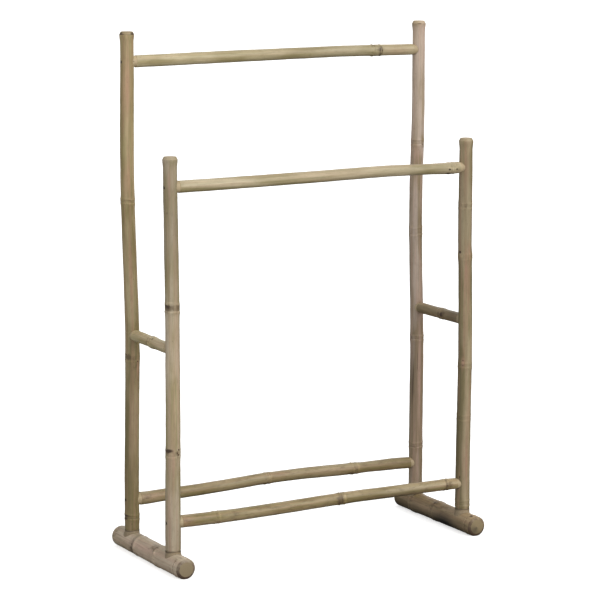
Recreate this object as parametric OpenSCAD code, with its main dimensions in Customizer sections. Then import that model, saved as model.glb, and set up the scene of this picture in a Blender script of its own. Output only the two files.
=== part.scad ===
// Bamboo towel rack: a tall rear frame and a short front frame on two thick feet.
// Every pole is a hollow culm with natural nodes, and ends in a round tenon in a drilled post or foot.
// The origin is on the floor under the middle: X across the rack, Y towards the tall frame, Z up.

/* [Overall] */
// Distance between the centre lines of the left and right posts
post_spacing = 576; // [460:1:820]
// Distance between the centre lines of the front and rear posts
frame_gap = 160; // [130:1:190]
// Height of the tops of the rear posts above the floor
rear_height = 900; // [740:1:1100]
// Height of the tops of the front posts above the floor
front_height = 705; // [585:1:850]
// Length of each foot from front to back
foot_length = 260; // [240:1:400]

/* [Heights] */
// Drop from the top of a post to the centre line of its towel rail
rail_drop = 51; // [40:1:90]
// Height of the centre line of the rear stretcher above the floor
rear_stretcher_height = 92; // [75:1:150]
// Height of the centre line of the front stretcher above the floor
front_stretcher_height = 87; // [75:1:150]
// Height of the centre lines of the two side rungs above the floor
rung_height = 382; // [200:1:460]

/* [Culm diameters] */
// Outside diameter of the feet
foot_d = 36; // [34:0.5:46]
// Outside diameter of the posts at the bottom
post_base_d = 25.5; // [24:0.5:28]
// Outside diameter of the posts at the top
post_top_d = 23.5; // [22:0.5:26]
// Outside diameter of the towel rails
rail_d = 20; // [17:0.5:22]
// Outside diameter of the stretchers
stretcher_d = 21; // [17:0.5:22]
// Outside diameter of the side rungs
rung_d = 19.5; // [17:0.5:22]

/* [Culm walls] */
// Wall thickness of the feet
foot_wall = 9.2; // [8.5:0.1:11]
// Wall thickness of the posts at the top
post_wall = 5; // [4:0.5:7]
// Wall thickness of the rails, stretchers and rungs
pole_wall = 3.5; // [2.5:0.5:5]
// Thickness of the natural wall across a culm at each node
septum = 4; // [2:0.5:8]

/* [Nodes and ends] */
// Height of the ridge that stands out around a culm at each node
node_ridge = 0.9; // [0.3:0.1:1.5]
// Height of the thin sheath scar just below each ridge
node_scar = 0.6; // [0.2:0.1:1]
// Reach of a node's swelling along the culm to each side
node_reach = 6; // [4:0.5:8]
// Height by which the top of a post flares out at its last node
top_flare = 1.1; // [0.4:0.1:2]
// Height of the bevel around the top of a post
top_bevel = 4.5; // [2:0.5:5]
// Radius of the rounded ends of the feet
foot_round = 4; // [1:0.5:6]
// Width of the flat planed along the underside of each foot
foot_flat = 12; // [8:0.5:16]

/* [Joints] */
// Difference in diameter between a pole and the tenon at its end
tenon_step = 1.5; // [1:0.1:3]
// Length of tenon that shows between a pole's shoulder and its post
tenon_neck = 3; // [2:0.5:12]
// Distance that each mortise in a post runs past the post's centre line
mortise_past = 5; // [3:0.5:6]
// Diameter of the tenon at the bottom of each post
foot_tenon_d = 22; // [20:0.5:23]
// Thickness of foot left under each post
foot_floor = 8; // [7:0.5:10]
// Length of the taper between a post's bottom tenon and its full diameter
post_taper = 8; // [4:0.5:12]
// Clearance filled by glue all around each joint
glue_gap = 0.1; // [0.05:0.01:0.3]
// Distance that the filler collar spreads out around each post's tenon
collar_spread = 3.5; // [2.5:0.1:6]
// Height that the filler collar climbs a post above the foot
collar_climb = 6; // [4:0.5:9]

/* [Dowels and screws] */
// Length of the dowels inside the ends of the rails, stretchers and rungs
pole_dowel_length = 40; // [34:1:60]
// Length of the dowels inside the bottoms of the posts
post_dowel_length = 36; // [34:1:50]
// Shank diameter of the screws through the posts
pole_screw_d = 3.5; // [3:0.5:4.5]
// Head diameter of the screws through the posts
pole_screw_head_d = 6; // [5.5:0.5:8]
// Length of the screws through the posts
pole_screw_length = 38; // [32:1:44]
// Shank diameter of the screws through the feet
foot_screw_d = 4; // [3:0.5:5]
// Head diameter of the screws through the feet
foot_screw_head_d = 8; // [7:0.5:9]
// Length of the screws through the feet
foot_screw_length = 34; // [30:1:38]
// Depth that every screw head is sunk below the bamboo
screw_sink = 1.2; // [0.8:0.1:2]

/* [Hidden] */
// Facets of a full turn where a mesh is drawn
$fn = 96;
// Nodes along each culm: distances from its start, or from its end where negative.
// A post starts at the foot, a rail or stretcher at the left, a rung and a foot at the rear.
left_rear_nodes = [54, 335, -287];
right_rear_nodes = [118, 317, -378, -218];
left_front_nodes = [200, -252];
right_front_nodes = [44, 294, -208, -119];
rear_rail_nodes = [-97];
front_rail_nodes = [-34];
rear_stretcher_nodes = [270, -136];
front_stretcher_nodes = [86, 331, -38];
left_rung_nodes = [-66];
right_rung_nodes = [92];
left_foot_nodes = [83, 167, -17];
right_foot_nodes = [132, -14];

// Clearance around a collar, and around a screw in its dowel
skin_gap = glue_gap / 2;
// Distance that a cutting shape runs past the surface it opens
past = 30;
// Half the post spacings across the rack and from front to back
half_spacing = post_spacing / 2;
half_gap = frame_gap / 2;
// Radius of a foot, and the heights of its axis and of its crest above the floor
foot_r = foot_d / 2;
foot_axis = sqrt(foot_r * foot_r - foot_flat * foot_flat / 4);
foot_crest = foot_axis + foot_r;
// Height of a post's bottom end above the floor, and the length of its bottom tenon
post_start = foot_floor + glue_gap;
post_tenon = foot_crest - post_start + 1;
// Radius of the hollow in a post
post_cavity_r = post_top_d / 2 - post_wall;
// Play left beyond the end of a tenon or dowel
end_play = 0.5;
// Distance that a pole's tenon runs past the centre line of its post
tenon_past = mortise_past - end_play;
// Shortest length of hollow, between two nodes, that is open at all
shortest_cavity = 12;
// Chamfer at each end of a hollow
cavity_chamfer = 2;
// Depth of solid culm at a closed end
cap_depth = 10;
// Step that the drill for a dowel cuts out of the wall of the hollow
bore_step = 0.5;
// Length of culm below the top of a post that the flare takes up, and the height where it is full
flare_start = 3 * top_bevel;
flare_full = 1.4 * top_bevel;
// Thickness of a screw head's rim
screw_rim = 0.6;
// Clearance around a screw where it passes through a wall
screw_clearance = 0.15;
// Distance that a screw hole is cut outwards from the head
way_in = 10;
// Length of each arm pair of the cross recess in a screw head, as a share of the head
recess_share = 0.6;
// Width and depth of the cross recess
recess_width = 0.8;
recess_depth = 1.1;
// Colours of the filler, the dowels and the screws
filler_colour = [0.62, 0.53, 0.38];
dowel_colour = [0.80, 0.66, 0.45];
steel_colour = [0.35, 0.34, 0.33];

// Distance of a node from the start of a culm.
function from_start(at, length) = at < 0 ? length + at : at;

// Radius of a post at a height above the floor.
function post_r(height, z) =
    (post_base_d + (post_top_d - post_base_d) * (z - post_start) / (height - post_start)) / 2;

// Outline of one node: the sheath scar, the groove above it and the ridge, all within its reach.
function node_outline(z, r) = [
    [r, z - node_reach],
    [r + node_scar, z - node_reach / 3],
    [r + node_scar / 4, z - node_reach / 5],
    [r + node_ridge, z + node_reach / 4],
    [r, z + node_reach]
];

// Outline of a screw from the top of its head, grown on every side.
function screw_outline(d, head_d, length, grow, above) = [
    [0, -above],
    [head_d / 2 + grow, -above],
    [head_d / 2 + grow, screw_rim],
    [d / 2 + grow, screw_rim + (head_d - d) / 2],
    [d / 2 + grow, length - d + grow],
    [0, length + grow]
];

// Outline of a post's bottom end, grown sideways.
function post_bottom(grow) = [
    [foot_tenon_d / 2 + grow, 0],
    [foot_tenon_d / 2 + grow, post_tenon],
    [post_base_d / 2 + grow, post_tenon + post_taper]
];

// Quarter circle at the rounded end of a foot, starting at the end face.
round_end = [
    for (a = [0:22.5:90])
        [foot_r - foot_round + foot_round * sin(a), foot_round - foot_round * cos(a)]
];

// One hollow between two heights along a culm, chamfered at both ends.
module cavity(r, low, high) {
    rotate_extrude()
        polygon([
            [0, low],
            [r - cavity_chamfer, low],
            [r, low + cavity_chamfer],
            [r, high - cavity_chamfer],
            [r - cavity_chamfer, high],
            [0, high]
        ]);
}

// Solid culm from 0 to length along Z, with a ring at each node and the given end outlines.
module culm_body(length, r0, r1, nodes, start, end) {
    rotate_extrude()
        polygon(concat(
            [[0, start[0][1]]],
            start,
            [for (n = nodes) each node_outline(
                from_start(n, length),
                r0 + (r1 - r0) * from_start(n, length) / length
            )],
            end,
            [[0, end[len(end) - 1][1]]]
        ));
}

// Hollow culm: the body less a cavity between each two septa.
module culm(length, r0, r1, cavity_r, nodes, start, end, first_stop, last_stop) {
    stops = concat([first_stop], [for (n = nodes) from_start(n, length)], [last_stop]);
    difference() {
        culm_body(length, r0, r1, nodes, start, end);
        for (i = [0:len(stops) - 2])
            if (stops[i + 1] - stops[i] - septum > shortest_cavity)
                cavity(cavity_r, stops[i] + septum / 2, stops[i + 1] - septum / 2);
    }
}

// Rail, stretcher or rung along Z, centred: a tenon and a bore for a dowel at each end.
module pole(d, span, post_low_r, post_high_r, nodes) {
    length = span + 2 * tenon_past;
    r = d / 2;
    tenon_r = r - tenon_step / 2;
    low_shoulder = tenon_past + post_low_r + tenon_neck;
    high_shoulder = length - (tenon_past + post_high_r + tenon_neck);
    translate([0, 0, -length / 2])
        difference() {
            culm(
                length, r, r, r - pole_wall, nodes,
                [[tenon_r, 0], [tenon_r, low_shoulder], [r, low_shoulder]],
                [[r, high_shoulder], [tenon_r, high_shoulder], [tenon_r, length]],
                -past, length + past
            );
            for (z = [-past, length - pole_dowel_length - end_play])
                translate([0, 0, z])
                    cylinder(h = past + pole_dowel_length + end_play, r = r - pole_wall + bore_step);
        }
}

// Dowel in the start of a pole that runs along Z, with the screw's hole where it has one.
module pole_dowel(d, span, post_radius) {
    hole_depth = post_radius - screw_sink;
    translate([0, 0, -span / 2 - tenon_past])
        difference() {
            cylinder(h = pole_dowel_length, r = d / 2 - pole_wall + bore_step - glue_gap);
            translate([0, 0, tenon_past - hole_depth])
                screw_cut(pole_screw_d, pole_screw_head_d, pole_screw_length, skin_gap);
        }
}

// The space a screw takes up, with clearance, and the way in to its head.
module screw_cut(d, head_d, length, grow) {
    rotate_extrude()
        polygon(screw_outline(d, head_d, length, grow, way_in));
}

// Countersunk screw that points along Z, with a cross recess in its head.
module screw(d, head_d, length) {
    difference() {
        rotate_extrude()
            polygon(screw_outline(d, head_d, length, 0, 0));
        for (turn = [0, 90])
            rotate([0, 0, turn])
                translate([-head_d * recess_share / 2, -recess_width / 2, -recess_depth])
                    cube([head_d * recess_share, recess_width, 2 * recess_depth]);
    }
}

// Mortise in a post at its centre line, opening along X.
module mortise(d) {
    translate([-mortise_past, 0, 0])
        rotate([0, 90, 0])
            cylinder(h = mortise_past + past, d = d - tenon_step + 2 * glue_gap);
}

// Hole for a screw that enters a post from the -X side.
module pole_screw_hole(radius) {
    translate([screw_sink - radius, 0, 0])
        rotate([0, 90, 0])
            screw_cut(pole_screw_d, pole_screw_head_d, pole_screw_length, screw_clearance);
}

// Post of the left side on its own centre line, with its rail along +X.
// The rung is turned towards the other post, and only the rear post has a screw behind the rung.
module post(height, stretcher_z, nodes, rung_turn, rung_screw) {
    length = height - post_start;
    rail_z = height - rail_drop;
    top_r = post_top_d / 2;
    difference() {
        translate([0, 0, post_start])
            culm(
                length, post_base_d / 2, top_r, post_cavity_r, nodes,
                post_bottom(0),
                [
                    [top_r, length - flare_start],
                    [top_r + top_flare, length - flare_full],
                    [top_r + top_flare, length - top_bevel],
                    [top_r - top_flare, length]
                ],
                -past, length - cap_depth + septum / 2
            );
        translate([0, 0, post_start - past])
            cylinder(h = past + post_dowel_length + end_play, r = post_cavity_r + bore_step);
        translate([0, 0, rail_z]) {
            mortise(rail_d);
            pole_screw_hole(post_r(height, rail_z));
        }
        translate([0, 0, stretcher_z]) {
            mortise(stretcher_d);
            pole_screw_hole(post_r(height, stretcher_z));
        }
        translate([0, 0, rung_height])
            rotate([0, 0, rung_turn]) {
                mortise(rung_d);
                if (rung_screw)
                    pole_screw_hole(post_r(height, rung_height));
            }
    }
}

// Foot on its own centre line, with its rear end at +Y.
module foot(nodes) {
    difference() {
        translate([0, foot_length / 2, foot_axis])
            rotate([90, 0, 0])
                culm(
                    foot_length, foot_r, foot_r, foot_r - foot_wall, nodes,
                    round_end,
                    [for (i = [len(round_end) - 1:-1:0])
                        [round_end[i][0], foot_length - round_end[i][1]]],
                    cap_depth - septum / 2, foot_length - cap_depth + septum / 2
                );
        translate([-foot_d, -foot_length, -foot_d])
            cube([2 * foot_d, 2 * foot_length, foot_d]);
        for (y = [-half_gap, half_gap])
            translate([0, y, 0]) {
                translate([0, 0, foot_floor])
                    cylinder(h = foot_d, d = foot_tenon_d + 2 * glue_gap);
                translate([0, 0, screw_sink])
                    screw_cut(foot_screw_d, foot_screw_head_d, foot_screw_length, screw_clearance);
            }
    }
}

// Filler collar where a post enters a foot, with a hollow curved outside.
module collar() {
    outer_r = foot_tenon_d / 2 + collar_spread;
    top_r = post_base_d / 2 + skin_gap;
    difference() {
        rotate_extrude()
            polygon(concat(
                [[0, foot_axis], [outer_r, foot_axis]],
                [for (a = [0:22.5:90]) [
                    outer_r - (outer_r - top_r) * sin(a),
                    foot_crest + collar_climb * (1 - cos(a))
                ]],
                [[0, foot_crest + collar_climb]]
            ));
        translate([0, 0, post_start])
            rotate_extrude()
                polygon(concat(
                    [[0, 0]],
                    post_bottom(skin_gap),
                    [[0, post_tenon + post_taper]]
                ));
        translate([0, foot_d, foot_axis])
            rotate([90, 0, 0])
                cylinder(h = 2 * foot_d, r = foot_r + skin_gap);
    }
}

// Two copies, one on each side of the rack.
module both_sides() {
    children();
    mirror([1, 0, 0])
        children();
}

// A pole laid across the rack at a height in the front or rear frame.
module across(y, z) {
    translate([0, y, z])
        rotate([0, 90, 0])
            children();
}

// A pole laid from the rear post to the front post of the left side.
module along_side() {
    translate([-half_spacing, 0, rung_height])
        rotate([90, 0, 0])
            children();
}

// The two screws into the ends of one rail or stretcher.
module end_screws(y, z, height) {
    both_sides()
        translate([screw_sink - half_spacing - post_r(height, z), y, z])
            rotate([0, 90, 0])
                screw(pole_screw_d, pole_screw_head_d, pole_screw_length);
}

// The two dowels in the ends of one rail or stretcher.
module end_dowels(d, y, z, height) {
    both_sides()
        across(y, z)
            pole_dowel(d, post_spacing, post_r(height, z));
}

module left_foot() {
    color([0.55, 0.48, 0.40])
        translate([-half_spacing, 0, 0])
            foot(left_foot_nodes);
}

module right_foot() {
    color([0.48, 0.40, 0.32])
        translate([half_spacing, 0, 0])
            foot(right_foot_nodes);
}

module left_rear_post() {
    color([0.64, 0.56, 0.43])
        translate([-half_spacing, half_gap, 0])
            post(rear_height, rear_stretcher_height, left_rear_nodes, -90, true);
}

module right_rear_post() {
    color([0.62, 0.54, 0.41])
        translate([half_spacing, half_gap, 0])
            mirror([1, 0, 0])
                post(rear_height, rear_stretcher_height, right_rear_nodes, -90, true);
}

module left_front_post() {
    color([0.66, 0.59, 0.47])
        translate([-half_spacing, -half_gap, 0])
            post(front_height, front_stretcher_height, left_front_nodes, 90, false);
}

module right_front_post() {
    color([0.63, 0.56, 0.44])
        translate([half_spacing, -half_gap, 0])
            mirror([1, 0, 0])
                post(front_height, front_stretcher_height, right_front_nodes, 90, false);
}

module rear_towel_rail() {
    z = rear_height - rail_drop;
    r = post_r(rear_height, z);
    color([0.74, 0.68, 0.55])
        across(half_gap, z)
            pole(rail_d, post_spacing, r, r, rear_rail_nodes);
}

module front_towel_rail() {
    z = front_height - rail_drop;
    r = post_r(front_height, z);
    color([0.75, 0.70, 0.57])
        across(-half_gap, z)
            pole(rail_d, post_spacing, r, r, front_rail_nodes);
}

module rear_stretcher() {
    r = post_r(rear_height, rear_stretcher_height);
    color([0.65, 0.59, 0.46])
        across(half_gap, rear_stretcher_height)
            pole(stretcher_d, post_spacing, r, r, rear_stretcher_nodes);
}

module front_stretcher() {
    r = post_r(front_height, front_stretcher_height);
    color([0.67, 0.60, 0.47])
        across(-half_gap, front_stretcher_height)
            pole(stretcher_d, post_spacing, r, r, front_stretcher_nodes);
}

module side_rung(nodes) {
    along_side()
        pole(
            rung_d, frame_gap,
            post_r(rear_height, rung_height), post_r(front_height, rung_height),
            nodes
        );
}

module left_side_rung() {
    color([0.68, 0.62, 0.49])
        side_rung(left_rung_nodes);
}

module right_side_rung() {
    color([0.66, 0.60, 0.47])
        mirror([1, 0, 0])
            side_rung(right_rung_nodes);
}

module rear_rail_dowels() {
    color(dowel_colour)
        end_dowels(rail_d, half_gap, rear_height - rail_drop, rear_height);
}

module front_rail_dowels() {
    color(dowel_colour)
        end_dowels(rail_d, -half_gap, front_height - rail_drop, front_height);
}

module rear_stretcher_dowels() {
    color(dowel_colour)
        end_dowels(stretcher_d, half_gap, rear_stretcher_height, rear_height);
}

module front_stretcher_dowels() {
    color(dowel_colour)
        end_dowels(stretcher_d, -half_gap, front_stretcher_height, front_height);
}

module rung_dowels() {
    color(dowel_colour)
        both_sides()
            along_side()
                pole_dowel(rung_d, frame_gap, post_r(rear_height, rung_height));
}

module post_dowels() {
    color(dowel_colour)
        both_sides()
            for (y = [-half_gap, half_gap])
                translate([-half_spacing, y, 0])
                    difference() {
                        translate([0, 0, post_start])
                            cylinder(
                                h = post_dowel_length,
                                r = post_cavity_r + bore_step - glue_gap
                            );
                        translate([0, 0, screw_sink])
                            screw_cut(foot_screw_d, foot_screw_head_d, foot_screw_length, skin_gap);
                    }
}

module rail_screws() {
    color(steel_colour) {
        end_screws(half_gap, rear_height - rail_drop, rear_height);
        end_screws(-half_gap, front_height - rail_drop, front_height);
    }
}

module stretcher_screws() {
    color(steel_colour) {
        end_screws(half_gap, rear_stretcher_height, rear_height);
        end_screws(-half_gap, front_stretcher_height, front_height);
    }
}

module rung_screws() {
    head_top = half_gap + post_r(rear_height, rung_height) - screw_sink;
    color(steel_colour)
        both_sides()
            translate([-half_spacing, head_top, rung_height])
                rotate([90, 0, 0])
                    screw(pole_screw_d, pole_screw_head_d, pole_screw_length);
}

module foot_screws() {
    color(steel_colour)
        both_sides()
            for (y = [-half_gap, half_gap])
                translate([-half_spacing, y, screw_sink])
                    screw(foot_screw_d, foot_screw_head_d, foot_screw_length);
}

module post_collars() {
    color(filler_colour)
        both_sides()
            for (y = [-half_gap, half_gap])
                translate([-half_spacing, y, 0])
                    collar();
}

left_foot();
right_foot();
left_rear_post();
right_rear_post();
left_front_post();
right_front_post();
rear_towel_rail();
front_towel_rail();
rear_stretcher();
front_stretcher();
left_side_rung();
right_side_rung();
rear_rail_dowels();
front_rail_dowels();
rear_stretcher_dowels();
front_stretcher_dowels();
rung_dowels();
post_dowels();
rail_screws();
stretcher_screws();
rung_screws();
foot_screws();
post_collars();
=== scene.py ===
"""Bamboo towel rack: a tall rear frame and a lower front frame on two thick feet.

Every culm is one closed surface: its radius is a function of the place along
the culm and the angle around it, with the rings, the buds, the grooves above
them, the sockets for other culms and the screw holes worked into the grid.
Lengths are in millimetres until a mesh is made.
"""

import logging
import math
from abc import ABC, abstractmethod
from collections.abc import Sequence
from dataclasses import dataclass, field
from enum import Enum

import bpy
import numpy as np
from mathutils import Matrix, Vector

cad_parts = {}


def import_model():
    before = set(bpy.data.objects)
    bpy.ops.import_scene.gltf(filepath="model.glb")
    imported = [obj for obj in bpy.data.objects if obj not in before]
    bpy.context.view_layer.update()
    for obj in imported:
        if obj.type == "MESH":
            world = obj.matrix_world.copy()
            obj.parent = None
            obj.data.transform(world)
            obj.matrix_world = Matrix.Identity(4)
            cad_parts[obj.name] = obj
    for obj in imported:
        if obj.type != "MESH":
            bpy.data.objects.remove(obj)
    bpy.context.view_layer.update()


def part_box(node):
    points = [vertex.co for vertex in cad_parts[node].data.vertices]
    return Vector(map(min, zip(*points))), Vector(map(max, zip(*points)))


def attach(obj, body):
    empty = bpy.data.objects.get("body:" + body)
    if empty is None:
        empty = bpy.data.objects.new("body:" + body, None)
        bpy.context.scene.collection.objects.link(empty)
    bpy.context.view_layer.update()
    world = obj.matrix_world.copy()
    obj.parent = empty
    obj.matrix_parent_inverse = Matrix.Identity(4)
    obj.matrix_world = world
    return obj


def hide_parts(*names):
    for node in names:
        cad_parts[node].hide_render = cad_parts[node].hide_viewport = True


LOG = logging.getLogger("towel_rack")
MM = 0.001
BODY = "root"
Array = np.ndarray
Socket = bpy.types.NodeSocket
Pairs = Sequence[tuple[float, float]]
Place = tuple[float, float, float]
# Middle, half width and step of each part of a grid that is finer than the rest.
Zones = Sequence[tuple[float, float, float]]
# How far a mean of sines is stretched, to reach about one.
WAVE_HEIGHT = 1.6
# Rows and columns of a grid closer than this, in millimetres and degrees, are merged.
LEAST_ROW_GAP = 0.12
LEAST_COLUMN_GAP = 0.2
# A foot's centre line above the floor, its radius, and the floor of its sockets.
FOOT_AXIS = 16.97
FOOT_R = 18.0
FOOT_SOCKET_FLOOR = 8.0
# Depth of every screw's head below the bamboo.
SCREW_SINK = 1.2
# Floors of the posts' sockets and of all screw holes, from the centre line.
POST_SOCKET_FLOOR = -5.0
POST_SCREW_FLOOR = 5.2
FOOT_SCREW_FLOOR = 9.2
# Diameters of a screw and its head, and its length.
POLE_SCREW = (3.5, 6.0, 38.0)
FOOT_SCREW = (4.0, 8.0, 34.0)
# Depth of a screw hole's straight part at the head: the head's rim and some room.
HEAD_ROOM = 0.7
# Radii of the tenons of rails, stretchers, rungs and posts.
RAIL_TENON_R = 9.25
STRETCHER_TENON_R = 9.75
RUNG_TENON_R = 9.0
POST_TENON_R = 11.0
# Grid cell at a socket in a post, and in a foot.
POST_CELL = 0.55
FOOT_CELL = 0.7
# Play of a tenon in its socket and of a dowel in its bore, for the glue.
GLUE = 0.1


# ---------------------------------------------------------------- formulas


def linear(hex_colour: str) -> tuple[float, float, float, float]:
    """Turns an sRGB hex colour, "#rrggbb", into linear light, with an alpha of one."""
    parts = [int(hex_colour[i : i + 2], 16) / 255 for i in (1, 3, 5)]
    lit = [p / 12.92 if p <= 0.04045 else ((p + 0.055) / 1.055) ** 2.4 for p in parts]
    return (lit[0], lit[1], lit[2], 1.0)


def hump(distance: Array, width: float) -> Array:
    """Bell of height one: e to the minus square of distance over width."""
    return np.exp(-((distance / width) ** 2))


def rise(value: Array, low: float, high: float) -> Array:
    """Smooth step from zero at low to one at high: 3t squared less 2t cubed."""
    t = np.clip((value - low) / (high - low), 0, 1)
    return t * t * (3 - 2 * t)


def eased(at: Array, knots: Pairs) -> Array:
    """Smooth curve through given points, level beyond both ends.

    Between two knots it is the cubic that meets both values and both slopes,
    where a knot's slope is the one across its neighbours.

    Args:
        at: Places where the curve is wanted.
        knots: Pairs of place and value, in order.

    Returns:
        The curve's value at each place.
    """
    if len(knots) == 1:
        return np.full_like(at, knots[0][1], dtype=float)
    place = np.array([k[0] for k in knots], float)
    value = np.array([k[1] for k in knots], float)
    slope = np.gradient(value, place)
    slope[0] = slope[-1] = 0
    i = np.clip(np.searchsorted(place, at) - 1, 0, len(place) - 2)
    gap = place[i + 1] - place[i]
    t = np.clip((at - place[i]) / gap, 0, 1)
    return (
        (2 * t**3 - 3 * t**2 + 1) * value[i]
        + (t**3 - 2 * t**2 + t) * gap * slope[i]
        + (3 * t**2 - 2 * t**3) * value[i + 1]
        + (t**3 - t**2) * gap * slope[i + 1]
    )


def at_place(place: float, knots: Pairs) -> float:
    """Height of the eased curve at one place."""
    return float(eased(np.array([place]), knots)[0])


def arc(around: Array, degrees: float, radius: Array) -> Array:
    """Signed distance around a culm from a direction, the short way round."""
    return np.angle(np.exp(1j * (around - math.radians(degrees)))) * radius


def waves(along: Array, around: Array, seed: int, lengths: Sequence[float], most_turns: int) -> Array:
    """Slow unevenness of a grown surface, between about minus one and one.

    It is the mean of one sine for each wavelength, whose phase turns a whole
    number of times around the culm, so that it closes on itself.

    Args:
        along: Places along the culm.
        around: Angles around the culm, in radians.
        seed: Chooses the phases and the numbers of turns.
        lengths: Wavelengths along the culm.
        most_turns: Most waves around the culm.

    Returns:
        The unevenness at each point.
    """
    draw = np.random.default_rng(seed)
    total = np.zeros(np.broadcast(along, around).shape)
    for length in lengths:
        turns = int(draw.integers(-most_turns, most_turns + 1))
        total = total + np.sin(turns * around + 2 * np.pi * along / length + draw.uniform(0, 2 * np.pi))
    return total / len(lengths) * WAVE_HEIGHT


def stations(length: float, coarse: float, zones: Zones) -> Array:
    """Places for the rows of a grid: coarse ones, and fine ones inside zones.

    Args:
        length: Where the last row is.
        coarse: Largest distance between two rows.
        zones: Centre, half width and fine step of each zone.

    Returns:
        The places from zero to length, in order.
    """
    places = np.linspace(0, length, max(2, int(length / coarse) + 1))
    for centre, half, step in zones:
        low, high = max(0.0, centre - half), min(length, centre + half)
        if high - low < step:
            continue
        keep = places[(places < low - step) | (places > high + step)]
        fine = np.linspace(low, high, max(2, int(round((high - low) / step)) + 1))
        inner = places[(places >= low - step) & (places <= high + step)]
        spacing = np.min(np.diff(inner)) if len(inner) > 1 else coarse
        if spacing < step * 0.75:
            fine = np.union1d(inner, fine)
        places = np.union1d(keep, fine)
    places = np.union1d(places, [0.0, length])
    gaps = np.diff(places)
    keep = np.concatenate([[True], gaps > LEAST_ROW_GAP])
    keep[-1] = True
    return places[keep]


def columns(count: int, zones: Zones) -> Array:
    """Angles for the columns of a grid, closer together inside zones.

    Args:
        count: Number of even columns.
        zones: Centre, half width and step of each zone, in degrees.

    Returns:
        Angles in radians from zero to less than a full turn, in order.
    """
    angles = np.arange(count) * 360.0 / count
    for centre, half, step in zones:
        away = np.abs((angles - centre + 180) % 360 - 180)
        fine = (centre + np.linspace(-half, half, int(2 * half / step) + 1)) % 360
        angles = np.concatenate([angles[away > half + step * 0.6], fine])
    angles = np.unique(np.round(angles, 4))
    gaps = np.diff(np.concatenate([angles, [angles[0] + 360]]))
    return np.radians(angles[gaps > LEAST_COLUMN_GAP])


def even_angles(count: int) -> Array:
    """Even angles of a full turn, in radians."""
    return np.arange(count) * 2 * np.pi / count


# ------------------------------------------------------------------ meshes


def grid_mesh(name: str, points: Array, ends: Array | None) -> bpy.types.Mesh:
    """Makes a closed mesh from a grid that closes around its columns.

    Args:
        name: Name of the mesh.
        points: Rows by columns by three, in millimetres, outwards when the
            columns turn right-handed about the way the rows go.
        ends: The two points that close the first and last row, or None where
            the rows close on themselves as on a ring.

    Returns:
        The mesh, in metres.
    """
    rows, cols = points.shape[:2]
    here = np.arange(rows * cols).reshape(rows, cols)
    if ends is None:
        here = np.vstack([here, here[:1]])
    right = np.roll(here, -1, axis=1)
    quads = np.stack([here[:-1], right[:-1], right[1:], here[1:]], axis=-1).reshape(-1, 4)
    corners = points.reshape(-1, 3)
    loops = quads.ravel()
    starts = np.arange(len(quads)) * 4
    if ends is not None:
        first, last = rows * cols, rows * cols + 1
        low = np.stack([np.full(cols, first), right[0], here[0]], axis=-1)
        high = np.stack([np.full(cols, last), here[-1], right[-1]], axis=-1)
        fans = np.concatenate([low, high])
        starts = np.concatenate([starts, len(loops) + np.arange(len(fans)) * 3])
        loops = np.concatenate([loops, fans.ravel()])
        corners = np.vstack([corners, ends])
    mesh = bpy.data.meshes.new(name)
    mesh.vertices.add(len(corners))
    mesh.vertices.foreach_set("co", (corners * MM).astype(np.float32).ravel())
    mesh.loops.add(len(loops))
    mesh.loops.foreach_set("vertex_index", loops.astype(np.int32))
    mesh.polygons.add(len(starts))
    mesh.polygons.foreach_set("loop_start", starts.astype(np.int32))
    mesh.update(calc_edges=True)
    mesh.validate()
    return mesh


def join_meshes(name: str, parts: Sequence[bpy.types.Mesh]) -> bpy.types.Mesh:
    """Puts several meshes with the same attributes into one.

    Args:
        name: Name of the joined mesh.
        parts: The meshes, which are removed.

    Returns:
        One mesh that holds them all.
    """
    objects = []
    for part in parts:
        thing = bpy.data.objects.new(name, part)
        bpy.context.scene.collection.objects.link(thing)
        objects.append(thing)
    with bpy.context.temp_override(
        active_object=objects[0], selected_objects=objects, selected_editable_objects=objects
    ):
        bpy.ops.object.join()
    mesh = objects[0].data
    bpy.data.objects.remove(objects[0])
    mesh.name = name
    return mesh


def put_vector(mesh: bpy.types.Mesh, name: str, values: Array) -> None:
    """Stores a vector attribute on the points of a mesh."""
    layer = mesh.attributes.new(name, "FLOAT_VECTOR", "POINT")
    layer.data.foreach_set("vector", values.astype(np.float32).ravel())


def put_colour(mesh: bpy.types.Mesh, name: str, values: Array) -> None:
    """Stores a colour attribute with alpha one on the points of a mesh."""
    layer = mesh.attributes.new(name, "FLOAT_COLOR", "POINT")
    rgba = np.concatenate([values, np.ones((len(values), 1))], axis=1)
    layer.data.foreach_set("color", rgba.astype(np.float32).ravel())


def finish_piece(
    name: str,
    mesh: bpy.types.Mesh,
    material: bpy.types.Material,
    node: str,
    sharp_angle: float = 38.0,
) -> bpy.types.Object:
    """Smooths a mesh, dresses it and makes it stand for its CAD node.

    Args:
        name: Name of the piece.
        mesh: Its mesh, with its place in its points.
        material: Its finish.
        node: The CAD node that it replaces.
        sharp_angle: Edges sharper than this, in degrees, stay crisp.

    Returns:
        The finished object.
    """
    mesh.polygons.foreach_set("use_smooth", np.ones(len(mesh.polygons), bool))
    mesh.set_sharp_from_angle(angle=math.radians(sharp_angle))
    mesh.materials.clear()
    mesh.materials.append(material)
    piece = bpy.data.objects.new(name, mesh)
    bpy.context.scene.collection.objects.link(piece)
    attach(piece, BODY)
    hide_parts(node)
    LOG.info("%s: %d faces, stands for %s", name, len(mesh.polygons), node)
    return piece


# --------------------------------------------------------------- materials


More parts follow.
